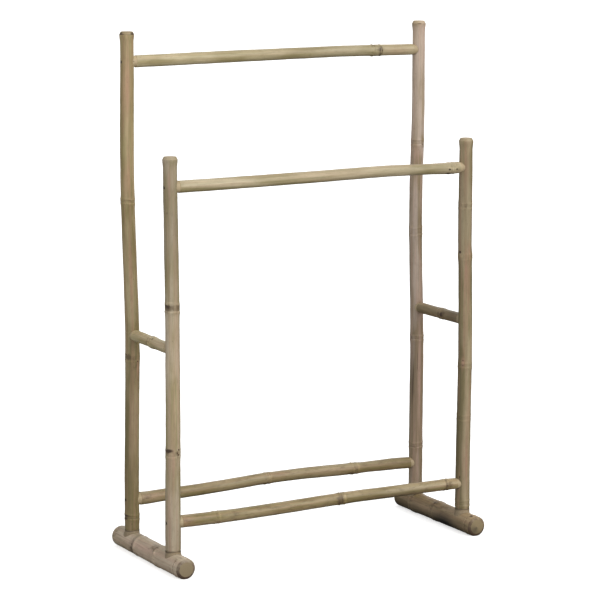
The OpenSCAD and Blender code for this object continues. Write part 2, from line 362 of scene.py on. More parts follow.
class Graph:
    """Nodes of a material or the world, added one at a time with settings and links."""

    def __init__(self, owner: bpy.types.Material | bpy.types.World) -> None:
        """Empties the owner's nodes."""
        self.tree = owner.node_tree
        self.tree.nodes.clear()

    def add(self, kind: str, *inputs: dict, **settings: object) -> bpy.types.Node:
        """Adds a node.

        Args:
            kind: Its type, without "ShaderNode".
            *inputs: A socket or a constant for each input, by name or number.
            **settings: The node's own settings.

        Returns:
            The node.
        """
        made = self.tree.nodes.new("ShaderNode" + kind)
        for key, value in settings.items():
            setattr(made, key, value)
        for key, value in (pair for group in inputs for pair in group.items()):
            if isinstance(value, Socket):
                self.tree.links.new(value, made.inputs[key])
            else:
                made.inputs[key].default_value = value
        return made


def new_material(name: str) -> tuple[bpy.types.Material, Graph]:
    """An empty material, and its nodes."""
    material = bpy.data.materials.new(name)
    material.use_nodes = True
    return material, Graph(material)


@dataclass(frozen=True)
class BambooFinish:
    """Bamboo culm, scraped of its green skin, sanded and given thin satin varnish.

    The eye sees long parallel fibres, cloudy straw and olive patches with
    pinkish streaks, brown stain in the scars of the rings, a soft sheen, and
    paler open grain where the culm was turned down or sawn.

    Attributes:
        name: What the material is called.
        straw: The lighter colour of the skin.
        olive: The duller colour that it clouds into.
        blush: The pinkish colour of the streaks.
        seed: Moves the pattern, so that no two culms match.
        stain: Colour of the scars and of dirt in them.
        bare: Colour of cut or turned bamboo.
        rough: Roughness of the varnish.
        blush_share: How much of the skin is pinkish.
        speck_share: How many small brown specks there are.
        dirt: Colour of the brown patches.
        mottle_share: How strongly brown patches show away from the rings.
    """

    name: str
    straw: str
    olive: str
    blush: str
    seed: float
    stain: str = "#453220"
    bare: str = "#b9a684"
    rough: float = 0.46
    blush_share: float = 0.5
    speck_share: float = 0.35
    dirt: str = "#5c4930"
    mottle_share: float = 0.12

    # Pattern sizes in millimetres: fibres are 0.3 to 0.6 mm wide in a real
    # culm and are drawn 0.9 mm wide, so that they show at all.
    FIBRE_WIDTH = 0.9
    FIBRE_LENGTH = 60.0
    STREAK_WIDTH = 5.0
    STREAK_LENGTH = 170.0
    BAND_WIDTH = 9.0
    BAND_LENGTH = 260.0
    CLOUD_WIDTH = 26.0
    CLOUD_LENGTH = 120.0
    MOTTLE_WIDTH = 5.0
    MOTTLE_LENGTH = 13.0
    SPECK_SIZE = 1.6
    PORE_SIZE = 0.7

    def build(self) -> bpy.types.Material:
        """Makes the material: patterns, then colours, then the surface."""
        material, g = new_material(self.name)
        grain = g.add("Attribute", attribute_name="grain")
        marks = g.add("Attribute", attribute_name="marks")
        tone = g.add("Attribute", attribute_name="tone")
        mark = g.add("SeparateColor", {"Color": marks.outputs["Color"]})
        cast = g.add("SeparateColor", {"Color": tone.outputs["Color"]})

        def pattern(width: float, length: float, detail: float, rough: float, shift: float) -> Socket:
            """Noise stretched along the culm, with features of these sizes."""
            place = g.add(
                "Mapping",
                {"Vector": grain.outputs["Vector"]},
                {
                    "Scale": (1 / width, 1 / width, 1 / length),
                    "Location": (self.seed + shift, self.seed * 0.37, shift),
                },
            )
            noise = g.add(
                "TexNoise",
                {"Vector": place.outputs[0]},
                {"Scale": 1.0, "Detail": detail, "Roughness": rough},
            )
            return noise.outputs["Fac"]

        fibre = pattern(self.FIBRE_WIDTH, self.FIBRE_LENGTH, 3.0, 0.6, 0.0)
        streak = pattern(self.STREAK_WIDTH, self.STREAK_LENGTH, 3.0, 0.55, 5.0)
        cloud = pattern(self.CLOUD_WIDTH, self.CLOUD_LENGTH, 3.0, 0.5, 9.0)
        mottle = pattern(self.MOTTLE_WIDTH, self.MOTTLE_LENGTH, 5.0, 0.62, 29.0)
        band = pattern(self.BAND_WIDTH, self.BAND_LENGTH, 2.0, 0.5, 21.0)
        speck = pattern(self.SPECK_SIZE, self.SPECK_SIZE * 2.6, 2.0, 0.5, 13.0)
        pore = pattern(self.PORE_SIZE, self.PORE_SIZE * 9, 2.0, 0.6, 17.0)

        def step(value: Socket, low: float, high: float, to_low: float = 0.0, to_high: float = 1.0) -> Socket:
            """Smooth step of a value between two others."""
            return g.add(
                "MapRange",
                {"Value": value},
                {"From Min": low, "From Max": high, "To Min": to_low, "To Max": to_high},
                interpolation_type="SMOOTHSTEP",
            ).outputs["Result"]

        def arithmetic(operation: str, one: object, two: object) -> Socket:
            """Joins two values, each a socket or a number."""
            return g.add("Math", {0: one, 1: two}, operation=operation).outputs[0]

        def mix(share: object, one: object, two: object, blend: str = "MIX") -> Socket:
            """Mixes two colours, each a socket or a constant, by a share."""
            inputs = {0: share, 6: one, 7: two}
            return g.add("Mix", inputs, data_type="RGBA", blend_type=blend, clamp_factor=True).outputs[2]

        # Skin: cloudy straw and olive, with pinkish streaks.
        olive_share = arithmetic("ADD", step(cloud, 0.38, 0.62, -0.1, 0.6), step(band, 0.4, 0.6, 0.0, 0.45))
        olive_share = arithmetic("ADD", olive_share, cast.outputs["Blue"])
        skin = mix(olive_share, linear(self.straw), linear(self.olive))
        pink = arithmetic("MULTIPLY", step(streak, 0.46, 0.62), self.blush_share)
        pink = arithmetic("ADD", pink, cast.outputs["Green"])
        skin = mix(pink, skin, linear(self.blush))
        # Fibres: each a little darker or lighter than the next.
        fibres = g.add("CombineColor", {i: step(fibre, 0.28, 0.72, 0.84, 1.1) for i in range(3)})
        skin = mix(1.0, skin, fibres.outputs[0], "MULTIPLY")
        # Small brown specks, more of them where the skin is olive.
        spots = arithmetic("MULTIPLY", step(speck, 0.66, 0.76), self.speck_share)
        skin = mix(spots, skin, linear(self.stain))
        # Brown patches: thin ones all over, and dense ones at the rings.
        thin = arithmetic("MULTIPLY", step(mottle, 0.5, 0.66), self.mottle_share)
        dense = arithmetic("ADD", mottle, arithmetic("MULTIPLY", mark.outputs["Blue"], 0.42))
        dense = arithmetic("MULTIPLY", step(dense, 0.55, 0.92), step(mark.outputs["Blue"], 0.0, 0.2))
        patches = arithmetic("MAXIMUM", thin, arithmetic("MULTIPLY", dense, 0.75))
        skin = mix(patches, skin, linear(self.dirt))
        # Bare wood: pale, with open pores along the fibres.
        grainy = mix(step(pore, 0.5, 0.68, 0.0, 0.35), linear(self.bare), linear(self.olive))
        skin = mix(mark.outputs["Green"], skin, grainy)
        # Lighter and darker parts of the culm; some of the darker parts are painted shade.
        light = arithmetic("MULTIPLY", cast.outputs["Red"], 2.0)
        shade = g.add("CombineColor", {i: light for i in range(3)})
        skin = mix(1.0, skin, shade.outputs[0], "MULTIPLY")
        # Stain, with an edge broken up by the fibres and specks.
        ragged = mark.outputs["Red"]
        for grain_wave, share in ((streak, 0.55), (fibre, 0.3)):
            swing = arithmetic("MULTIPLY", arithmetic("SUBTRACT", grain_wave, 0.5), share)
            ragged = arithmetic("ADD", ragged, swing)
        soiled = arithmetic("MULTIPLY", step(ragged, 0.12, 0.9), step(mark.outputs["Red"], 0.0, 0.12))
        skin = mix(soiled, skin, linear(self.stain))

        gloss = step(streak, 0.3, 0.7, self.rough - 0.06, self.rough + 0.07)
        gloss = arithmetic("ADD", gloss, arithmetic("MULTIPLY", mark.outputs["Green"], 0.2))
        height = arithmetic("ADD", arithmetic("MULTIPLY", fibre, 0.7), arithmetic("MULTIPLY", streak, 0.5))
        open_pore = arithmetic("MULTIPLY", pore, arithmetic("MULTIPLY", mark.outputs["Green"], 0.6))
        height = arithmetic("ADD", height, open_pore)
        relief = g.add("Bump", {"Height": height}, {"Strength": 0.35, "Distance": 0.25 * MM})
        shader = g.add(
            "BsdfPrincipled",
            {"Base Color": skin, "Roughness": gloss, "Normal": relief.outputs[0]},
            {"IOR": 1.5, "Specular IOR Level": 0.42, "Coat Weight": 0.12, "Coat Roughness": 0.3},
        )
        g.add("OutputMaterial", {"Surface": shader.outputs[0]})
        return material


@dataclass(frozen=True)
class FillerFinish:
    """Wood filler, troweled round the posts, sanded smooth and varnished over.

    It has no fibres, so the eye sees an even, slightly mottled tan with fine
    sanding marks and a dark hairline where it meets the post.
    """

    name: str = "wood filler, sanded"
    light: str = "#a08f74"
    dark: str = "#85745a"
    MOTTLE = 5.0
    GRIT = 0.6

    def build(self) -> bpy.types.Material:
        """Makes the material from two noises on object coordinates."""
        material, g = new_material(self.name)
        place = g.add("TexCoord").outputs["Object"]
        mottle = g.add("TexNoise", {"Vector": place}, {"Scale": 1000 / self.MOTTLE, "Detail": 3.0})
        grit = g.add("TexNoise", {"Vector": place}, {"Scale": 1000 / self.GRIT, "Detail": 2.0})
        colour = g.add(
            "Mix",
            {0: mottle.outputs["Fac"]},
            {6: linear(self.light), 7: linear(self.dark)},
            data_type="RGBA",
        ).outputs[2]
        marks = g.add("Attribute", attribute_name="marks")
        mark = g.add("SeparateColor", {"Color": marks.outputs["Color"]})
        colour = g.add(
            "Mix", {0: mark.outputs["Red"], 6: colour}, {7: linear("#3a2c1d")}, data_type="RGBA"
        ).outputs[2]
        relief = g.add("Bump", {"Height": grit.outputs["Fac"]}, {"Strength": 0.3, "Distance": 0.1 * MM})
        shader = g.add(
            "BsdfPrincipled",
            {"Base Color": colour, "Normal": relief.outputs[0]},
            {"Roughness": 0.55, "IOR": 1.5, "Specular IOR Level": 0.4},
        )
        g.add("OutputMaterial", {"Surface": shader.outputs[0]})
        return material


@dataclass(frozen=True)
class DowelFinish:
    """Beech rod, fluted and unfinished: pale, close grain with short dark flecks."""

    name: str = "beech dowel, raw"
    light: str = "#cfae84"
    dark: str = "#a9825a"
    FLECK_WIDTH = 0.8
    FLECK_LENGTH = 4.0

    def build(self) -> bpy.types.Material:
        """Makes the material from short flecks along the rod."""
        material, g = new_material(self.name)
        grain = g.add("Attribute", attribute_name="grain")
        place = g.add(
            "Mapping",
            {"Vector": grain.outputs["Vector"]},
            {"Scale": (1 / self.FLECK_WIDTH, 1 / self.FLECK_WIDTH, 1 / self.FLECK_LENGTH)},
        )
        fleck = g.add("TexNoise", {"Vector": place.outputs[0]}, {"Scale": 1.0, "Detail": 3.0})
        colour = g.add(
            "Mix", {0: fleck.outputs["Fac"]}, {6: linear(self.light), 7: linear(self.dark)}, data_type="RGBA"
        ).outputs[2]
        relief = g.add("Bump", {"Height": fleck.outputs["Fac"]}, {"Strength": 0.4, "Distance": 0.15 * MM})
        shader = g.add(
            "BsdfPrincipled",
            {"Base Color": colour, "Normal": relief.outputs[0]},
            {"Roughness": 0.7, "IOR": 1.5, "Specular IOR Level": 0.3},
        )
        g.add("OutputMaterial", {"Surface": shader.outputs[0]})
        return material


@dataclass(frozen=True)
class ScrewFinish:
    """Steel wood screw, phosphated dark: a grey-black metal with a dull sheen."""

    name: str = "screw steel, phosphated"
    light: str = "#6f6a64"
    dark: str = "#3b3733"
    MOTTLE = 1.4

    def build(self) -> bpy.types.Material:
        """Makes the material from a fine mottle on object coordinates."""
        material, g = new_material(self.name)
        place = g.add("TexCoord").outputs["Object"]
        mottle = g.add("TexNoise", {"Vector": place}, {"Scale": 1000 / self.MOTTLE, "Detail": 3.0})
        colour = g.add(
            "Mix", {0: mottle.outputs["Fac"]}, {6: linear(self.light), 7: linear(self.dark)}, data_type="RGBA"
        ).outputs[2]
        rough = g.add(
            "MapRange", {"Value": mottle.outputs["Fac"]}, {"To Min": 0.34, "To Max": 0.55}
        ).outputs["Result"]
        relief = g.add("Bump", {"Height": mottle.outputs["Fac"]}, {"Strength": 0.2, "Distance": 0.05 * MM})
        shader = g.add(
            "BsdfPrincipled",
            {"Base Color": colour, "Roughness": rough, "Normal": relief.outputs[0]},
            {"Metallic": 1.0},
        )
        g.add("OutputMaterial", {"Surface": shader.outputs[0]})
        return material


# ------------------------------------------------------------------- culms


class Way(Enum):
    """Which way a culm runs: sideways, other way and along, as unit vectors."""

    UP = ((1, 0, 0), (0, 1, 0), (0, 0, 1))
    ACROSS = ((0, 1, 0), (0, 0, 1), (1, 0, 0))
    FORWARD = ((1, 0, 0), (0, 0, 1), (0, -1, 0))


class Kind(Enum):
    """What a mark on a culm does to it."""

    STAIN = "brown stain"
    BARE = "sanded through to bare wood"
    PALE = "lighter skin"
    # Marks of this kind that lie along an underside or along the side turned from the light are painted
    # shade.
    DARK = "darker skin"
    BLUSH = "pinkish skin"
    MOSS = "olive skin"
    LUMP = "raised skin"
    CRACK = "hairline crack, dark inside"
    DIRT = "brown dirt, in patches"


@dataclass(frozen=True)
class Mark:
    """One mark on a culm.

    Attributes:
        kind: What it does.
        at: Place of its middle, from the culm's start.
        angle: Its direction around the culm, in degrees.
        length: Half its length along the culm.
        width: Half its width around the culm, or 0 for a full ring.
        strength: Its share of colour, or its height.
        slant: Sideways drift for each millimetre along the culm.
    """

    kind: Kind
    at: float
    angle: float
    length: float
    width: float
    strength: float
    slant: float = 0.0


def marks_of(table: dict[Kind, Sequence[tuple[float, ...]]]) -> tuple[Mark, ...]:
    """Marks from their numbers, in the order of Mark's fields after the kind.

    Args:
        table: For each kind, one row of numbers for each mark.

    Returns:
        All the marks.
    """
    return tuple(Mark(kind, *row) for kind, rows in table.items() for row in rows)


@dataclass(frozen=True)
class Ring:
    """A node of the bamboo: a lip where the sheath sat, a sunk band, and a ridge.

    Attributes:
        at: Place of its middle, from the culm's start.
        swell: Height of the broad swelling.
        lip: Height of the lip, which is steep on the band's side.
        ridge: Height of the ridge on the other side of the band.
        groove: Depth of the line inside the lip.
        gap: Distance from the lip to the ridge.
        stain: How dark the lines and the band are.
        dirt: How far brown patches cover the band and the skin beside it.
        tilt: How far the ring climbs on its high side.
        towards: Direction of the high side, in degrees.
        bud: Direction of the bud, in degrees.
        bud_height: Height of the bud, or 0 for none.
        growth: 1 where the culm grew along its way, and -1 where against it.
    """

    at: float
    swell: float = 0.45
    lip: float = 0.4
    ridge: float = 0.35
    groove: float = 0.3
    gap: float = 8.0
    stain: float = 0.4
    dirt: float = 0.25
    tilt: float = 0.8
    towards: float = 0.0
    bud: float = 0.0
    bud_height: float = 0.0
    growth: int = 1

    def place(self, along: Array, around: Array) -> Array:
        """Distance along the culm from the middle of the ring, which tilts and wavers."""
        waver = 0.3 * np.sin(3 * around + self.at) + 0.18 * np.sin(5 * around + 2 * self.at)
        climb = self.tilt * np.cos(around - math.radians(self.towards))
        return self.growth * (along - self.at - climb - waver)

    def height(self, along: Array, around: Array, radius: Array) -> Array:
        """Relief of the ring: bells for swelling, lip, lines, ridge, bud and furrow.

        Args:
            along: Places along the culm.
            around: Angles around it.
            radius: The culm's radius there.

        Returns:
            Height above the plain culm.
        """
        u = self.place(along, around)
        half = self.gap / 2
        relief = (
            self.swell * hump(u, half + 5.0)
            + self.lip * hump(u + half, np.where(u < -half, 3.4, 0.8))
            + self.ridge * hump(u - half, 2.0)
            - self.groove * hump(u + half - 1.4, 0.8)
            - 0.5 * self.groove * hump(u - half + 2.4, 0.9)
        )
        if self.bud_height:
            side = arc(around, self.bud, radius)
            relief = relief + self.bud_height * hump(side, 3.2) * hump(u + 0.5, 3.0)
            furrow = rise(u, half, half + 10.0) * (1 - rise(u, 30.0, 95.0))
            relief = relief - 0.5 * self.bud_height * hump(side, 3.6) * furrow
        return relief

    def stain_at(self, along: Array, around: Array, radius: Array) -> Array:
        """Brown in the lines and the band, in patches, and round the bud, from 0 to 1."""
        u = self.place(along, around)
        half = self.gap / 2
        one = rise(np.sin(around + self.at) + 0.6 * np.sin(2 * around - 1.7 * self.at), -0.4, 1.2)
        other = rise(np.sin(around + 2.3 * self.at) + 0.6 * np.sin(3 * around + self.at), -0.4, 1.2)
        stain = self.stain * (
            (0.3 + 0.7 * one) * hump(u + half - 1.4, 1.0)
            + (0.15 + 0.85 * other) * hump(u - half + 2.0, 1.5)
            + 0.3 * hump(u, half)
        )
        if self.bud_height:
            side = arc(around, self.bud, radius)
            stain = stain + 0.5 * self.bud_height * hump(side, 2.6) * hump(u - 1.0, 2.6)
        return stain

    def dirt_at(self, along: Array, around: Array) -> Array:
        """Brown patches on the band and fading away from it, more on one side."""
        side = 0.65 + 0.35 * np.cos(around - 1.3 * self.at)
        return self.dirt * side * hump(self.place(along, around), self.gap / 2 + 3.0)

    def pale_at(self, along: Array, around: Array) -> Array:
        """The lip and the ridge, sanded a little lighter than the skin."""
        u = self.place(along, around)
        return 0.12 * hump(u + self.gap / 2 + 0.8, 1.3) + 0.08 * hump(u - self.gap / 2 - 0.3, 1.2)


@dataclass(frozen=True)
class Sink:
    """A round hole worked into a culm's surface, straight towards its middle.

    Attributes:
        at: Place of its centre, from the culm's start.
        angle: Direction that it opens towards, in degrees.
        steps: Radius and floor of each step, from the middle out, where the
            floor is a distance from the culm's centre line towards the opening.
        cell: Size of the grid's cells there.
    """

    at: float
    angle: float
    steps: Pairs
    cell: float = 0.5

    def cut(self, points: Array, grown: Array) -> Array:
        """Sinks the grid's points inside the hole, and draws its rim round.

        Points just inside the rim go down its wall to the floor, and points
        near the rim slide onto it, so that the rim is round and the wall
        straight. The side that a point is on is its side on the grown culm,
        so a hole leaves the floor of the one opposite alone.

        Args:
            points: Rows by columns by sideways, other way and along.
            grown: The same points before any hole.

        Returns:
            The points with the hole in them.
        """
        turn = math.radians(self.angle)
        out = points[..., 0] * math.cos(turn) + points[..., 1] * math.sin(turn)
        side = points[..., 1] * math.cos(turn) - points[..., 0] * math.sin(turn)
        lift = points[..., 2] - self.at
        reach = np.hypot(side, lift)
        radius = self.steps[-1][0]
        half = self.cell * 0.55
        front = grown[..., 0] * math.cos(turn) + grown[..., 1] * math.sin(turn) > 0
        rim = front & (np.abs(reach - radius) <= half)
        wall = front & (reach < radius - half) & (reach >= radius - 3 * half)
        inside = front & (reach < radius - half)
        safe = np.maximum(reach, 1e-6)
        scale = np.where(rim, radius / safe, np.where(wall, (radius - 0.02) / safe, 1.0))
        skin = np.hypot(out, side)
        side, lift = side * scale, lift * scale
        out = np.where(rim, np.sqrt(np.maximum(skin**2 - side**2, 0)), out)
        radii = [s[0] for s in self.steps]
        floors = [s[1] for s in self.steps]
        floor = np.interp(np.hypot(side, lift), radii, floors)
        out = np.where(inside, floor, out)
        sunk = np.empty_like(points)
        sunk[..., 0] = out * math.cos(turn) - side * math.sin(turn)
        sunk[..., 1] = out * math.sin(turn) + side * math.cos(turn)
        sunk[..., 2] = lift + self.at
        return np.where(front[..., None], sunk, points)


def socket(at: float, angle: float, tenon_r: float, floor: float, cell: float) -> Sink:
    """A socket for a tenon, with a flat floor and room for glue."""
    return Sink(at, angle, ((0.0, floor), (tenon_r + GLUE, floor)), cell)


def screw_sink(at: float, angle: float, surface: float, screw: Place, floor: float) -> Sink:
    """A screw hole: a round for the head, a cone under it, and a bore.

    Args:
        at: Place from the culm's start.
        angle: Direction that it opens towards.
        surface: Radius of the culm there.
        screw: Diameters of the screw and its head, and its length.
        floor: Distance of the bore's end from the centre line.

    Returns:
        The hole.
    """
    shank, head, _ = screw
    seat = surface - SCREW_SINK - HEAD_ROOM
    cone = (head - shank) / 2
    return Sink(
        at,
        angle,
        (
            (shank / 2 + 0.1, floor),
            (shank / 2 + 0.12, seat - cone),
            (head / 2 + 0.1, seat),
            (head / 2 + 0.15, seat + 0.1),
        ),
    )


@dataclass
class Culm(ABC):
    """One length of bamboo.

    Attributes:
        node: The CAD node that it stands for.
        finish: Its finish.
        way: Which way it runs.
        origin: Its start on its centre line.
        length: Its length.
        girth: Pairs of place and diameter.
        rings: Its nodes.
        seed: Chooses its unevenness.
        sway: Pairs of place and sideways shift of its centre line.
        bow: Pairs of place and shift the other way.
        light: Pairs of place and lightness, where 1 is plain.
        marks: Its marks.
        sinks: Its sockets and screw holes.
        column_count: Columns of its grid.
        row_step: Coarse distance between rows.
    """

    node: str
    finish: BambooFinish
    way: Way
    origin: Place
    length: float
    girth: Pairs
    rings: Sequence[Ring]
    seed: int
    sway: Pairs = ((0.0, 0.0),)
    bow: Pairs = ((0.0, 0.0),)
    light: Pairs = ((0.0, 1.0),)
    marks: Sequence[Mark] = ()
    sinks: Sequence[Sink] = ()
    column_count: int = 112
    row_step: float = 4.0

    UNEVEN = 0.16
    OVAL = 0.12
    # Skin sunk deeper than this is cut wood: bare, and a quarter darker as painted shade inside the hole.
    CUT_DEPTH = 1.0
    HOLE_PAINTED_SHADE = 0.75

    @property
    def name(self) -> str:
        """Name of the piece."""
        return f"{self.node}_culm"

    @property
    def slot(self) -> str:
        """The record's material slot, from the last word of the node's name."""
        return f"{self.node.split('_')[-1]}_bamboo"

    def skin_radius(self, along: Array, around: Array) -> Array:
        """Radius of the grown culm.

        It is half the girth, plus a slow unevenness, an oval that turns along
        the culm, the relief of each ring and each raised mark.

        Args:
            along: Places along the culm.
            around: Angles around it.

        Returns:
            The radius at each point.
        """
        plain = eased(along, self.girth) / 2
        radius = plain + self.UNEVEN * waves(along, around, self.seed, (210.0, 95.0, 47.0, 310.0), 2)
        radius = radius + self.OVAL * np.cos(2 * around + 0.011 * along + self.seed)
        radius = radius + 0.05 * waves(along, around, self.seed + 50, (21.0, 33.0, 14.0), 6)
        for ring in self.rings:
            radius = radius + ring.height(along, around, plain)
        for mark in self.marks:
            if mark.kind is Kind.LUMP:
                radius = radius + mark.strength * self.reach(mark, along, around, plain)
            if mark.kind is Kind.CRACK:
                radius = radius - 0.45 * mark.strength * self.reach(mark, along, around, plain)
        return radius

    @staticmethod
    def reach(mark: Mark, along: Array, around: Array, radius: Array) -> Array:
        """How much of a mark is felt at each point: a bell along times a bell around."""
        run = along - mark.at
        share = hump(run, mark.length)
        if mark.width:
            side = arc(around - mark.slant * run / radius, mark.angle, radius)
            share = share * hump(side, mark.width)
        return share

    @abstractmethod
    def end_drop(self, along: Array) -> Array:
        """How much the ends take off the radius."""

    @abstractmethod
    def bare_at(self, along: Array) -> Array:
        """Where the culm is cut or turned down to bare wood, from 0 to 1."""

    @abstractmethod
    def first_cap(self) -> Pairs:
        """Rows that close the start, from its middle out: share of the end's radius, and place."""

    @abstractmethod
    def last_cap(self) -> Pairs:
        """Rows that close the end, from its middle out: share of the end's radius, and place."""

    def row_zones(self) -> Zones:
        """Zones where rows are close together: rings, holes and ends."""
        zones = [(ring.at, ring.gap / 2 + 8.0, 0.75) for ring in self.rings]
        zones += [(s.at, s.steps[-1][0] + 1.2, s.cell) for s in self.sinks]
        return zones

    def column_zones(self) -> Zones:
        """Zones where columns are close together: holes."""
        radius = self.girth[0][1] / 2
        zones = []
        for s in self.sinks:
            half = math.degrees(math.asin(min(0.9, (s.steps[-1][0] + 1.0) / radius)))
            zones.append((s.angle, half, math.degrees(s.cell / radius)))
        return zones

    def shape(self, points: Array) -> Array:
        """Last change to the straight culm's points, before it bends."""
        return points

    def build_mesh(self) -> bpy.types.Mesh:
        """Makes the culm's surface.

        A grid of rows along and columns around takes its radius from
        skin_radius less end_drop. Rows that shrink to the middle close the
        ends. Holes are sunk, the centre line is bent, and the whole is turned
        to its way and moved to its origin.

        Returns:
            The mesh, with its grain, marks and tone attributes.
        """
        rows = stations(self.length, self.row_step, self.row_zones())
        angles = columns(self.column_count, self.column_zones())
        along, around = np.meshgrid(rows, angles, indexing="ij")
        radius = self.skin_radius(along, around) - self.end_drop(along)
        caps = [self.first_cap(), self.last_cap()]
        blocks = []
        for cap, edge in ((caps[0], 0), (caps[1], -1)):
            share = np.array([c[0] for c in cap])[:, None]
            place = np.array([c[1] for c in cap])[:, None]
            blocks.append((np.maximum(share, 0) * radius[edge][None, :], place + 0 * angles[None, :]))
        first_r, first_s = blocks[0]
        last_r, last_s = blocks[1][0][::-1], blocks[1][1][::-1]
        radius = np.vstack([first_r, radius, last_r])
        along = np.vstack([first_s, along, last_s])
        around = np.broadcast_to(angles[None, :], along.shape)
        points = np.stack([radius * np.cos(around), radius * np.sin(around), along], axis=-1)
        grain = points.copy()
        outer = slice(len(first_s), len(along) - len(last_s))
        for sink in self.sinks:
            points[outer] = sink.cut(points[outer], grain[outer])
        points = self.shape(points)
        ends = np.array([[0, 0, first_s[0, 0]], [0, 0, last_s[-1, 0]]], float)
        moved = np.linalg.norm(points - grain, axis=-1) if self.sinks else np.zeros(along.shape)
        for target in (points, ends):
            target[..., 0] += eased(target[..., 2], self.sway)
            target[..., 1] += eased(target[..., 2], self.bow)
        turn = np.array(self.way.value, float)
        origin = np.array(self.origin, float)
        mesh = grid_mesh(self.name, points @ turn + origin, ends @ turn + origin)
        self.paint(mesh, grain, along, around, radius, moved, outer)
        return mesh

    def paint(
        self,
        mesh: bpy.types.Mesh,
        grain: Array,
        along: Array,
        around: Array,
        radius: Array,
        moved: Array,
        outer: slice,
    ) -> None:
        """Stores the grain's coordinates and the marks and tone on the points.

        Args:
            mesh: The culm's mesh.
            grain: Points of the straight culm.
            along: Places of the grid's points.
            around: Angles of the grid's points.
            radius: Radii of the grid's points.
            moved: How far each point was sunk.
            outer: The rows of the skin.
        """
        stain = self.dark_at(along, around)
        dirt = np.zeros(along.shape)
        bare = self.bare_at(along)
        light = eased(along, self.light)
        plain = eased(along, self.girth) / 2
        for ring in self.rings:
            stain += ring.stain_at(along, around, plain)
            dirt += ring.dirt_at(along, around)
            light += ring.pale_at(along, around)
        layers = {kind: np.zeros(along.shape) for kind in Kind}
        for mark in self.marks:
            layers[mark.kind] += mark.strength * self.reach(mark, along, around, plain)
        stain += layers[Kind.STAIN] + layers[Kind.CRACK]
        dirt += layers[Kind.DIRT]
        bare += layers[Kind.BARE]
        # DARK marks on undersides and shaded sides, taken off the lightness here, are painted shade.
        light += 0.5 * (layers[Kind.PALE] - layers[Kind.DARK])
        capped = np.ones(along.shape)
        capped[outer] = 0
        bare = np.maximum(bare, capped)
        stain = np.where(capped > 0, self.cap_stain(radius, plain), stain)
        bare = np.where(moved > self.CUT_DEPTH, 1.0, bare)
        # Points sunk into a hole or socket are darkened: painted shade inside it.
        light = np.where(moved > self.CUT_DEPTH, light * self.HOLE_PAINTED_SHADE, light)
        marks = np.stack([np.clip(stain, 0, 1), np.clip(bare, 0, 1), np.clip(dirt, 0, 1)], axis=-1)
        casts = [np.clip(layers[kind], -1, 1) for kind in (Kind.BLUSH, Kind.MOSS)]
        tone = np.stack([light * 0.5, *casts], axis=-1)
        edge_tone = np.stack([tone[0, 0], tone[-1, 0]])
        shift = np.array([self.seed * 37.0, self.seed * 11.0, self.seed * 5.0])
        tips = np.array([[0, 0, along[0, 0]], [0, 0, along[-1, 0]]], float)
        put_vector(mesh, "grain", np.vstack([grain.reshape(-1, 3), tips]) + shift)
        put_colour(mesh, "marks", np.vstack([marks.reshape(-1, 3), [[0.0, 1.0, 0.0]] * 2]))
        put_colour(mesh, "tone", np.vstack([tone.reshape(-1, 3), edge_tone]))

    def dark_at(self, along: Array, around: Array) -> Array:
        """Stain that goes with the culm's own shape, and none on a plain one."""
        return np.zeros(along.shape)

    def cap_stain(self, radius: Array, plain: Array) -> Array:
        """Stain on the closed ends, by distance from their middle."""
        return np.zeros(radius.shape)

    def make(self) -> bpy.types.Object:
        """Builds the culm, dresses it and makes it stand for its node."""
        return finish_piece(self.name, self.build_mesh(), self.finish.build(), self.node)


@dataclass
class Post(Culm):
    """Upright culm: a turned tenon at its foot and a flared, bevelled, closed top."""

    tenon: float = 28.0
    taper: float = 8.0
    flare: float = 1.1
    bevel: float = 4.5
    bevel_in: float = 2.5
    bore: float = 7.25
    bore_depth: float = 36.5

    def end_drop(self, along: Array) -> Array:
        """Turns down the tenon, flares the top and cuts its bevel."""
        foot = eased(np.zeros(1), self.girth)[0] / 2
        step = (foot - POST_TENON_R) * (1 - np.clip((along - self.tenon) / self.taper, 0, 1))
        from_top = self.length - along
        flare = self.flare * (1 - rise(from_top, 1.3 * self.bevel, 4.2 * self.bevel))
        cut = self.bevel_in * np.clip(1 - from_top / self.bevel, 0, 1)
        return step - flare + cut

    def bare_at(self, along: Array) -> Array:
        """The tenon and its taper, and a little of the bevel, are bare."""
        from_top = self.length - along
        foot = 1 - rise(along, self.tenon + 1, self.tenon + self.taper)
        return np.maximum(foot, 0.45 * (from_top < self.bevel))

    def row_zones(self) -> Zones:
        """Adds close rows at the tenon and the top."""
        extra = [(self.tenon + self.taper / 2, self.taper / 2 + 1, 0.9), (self.length - 8, 8.0, 0.5)]
        return super().row_zones() + extra

    def first_cap(self) -> Pairs:
        """A blind bore for the dowel closes the bottom."""
        share = self.bore / (POST_TENON_R)
        depth = self.bore_depth
        return (
            (0.3 * share, depth), (share, depth), (share, depth - 0.6), (share, depth / 2), (share, 0.4),
            (share + 0.04, 0.0), (0.96, 0.0),
        )

    def last_cap(self) -> Pairs:
        """A flat top with a slightly broken edge."""
        top = self.length
        return ((0.2, top + 0.25), (0.4, top + 0.25), (0.6, top + 0.22), (0.8, top + 0.18), (0.93, top + 0.1))

    def cap_stain(self, radius: Array, plain: Array) -> Array:
        """A darker ring where the sawn wall ends and the closing septum begins."""
        return 0.25 * hump(radius - 0.55 * plain, 1.2)


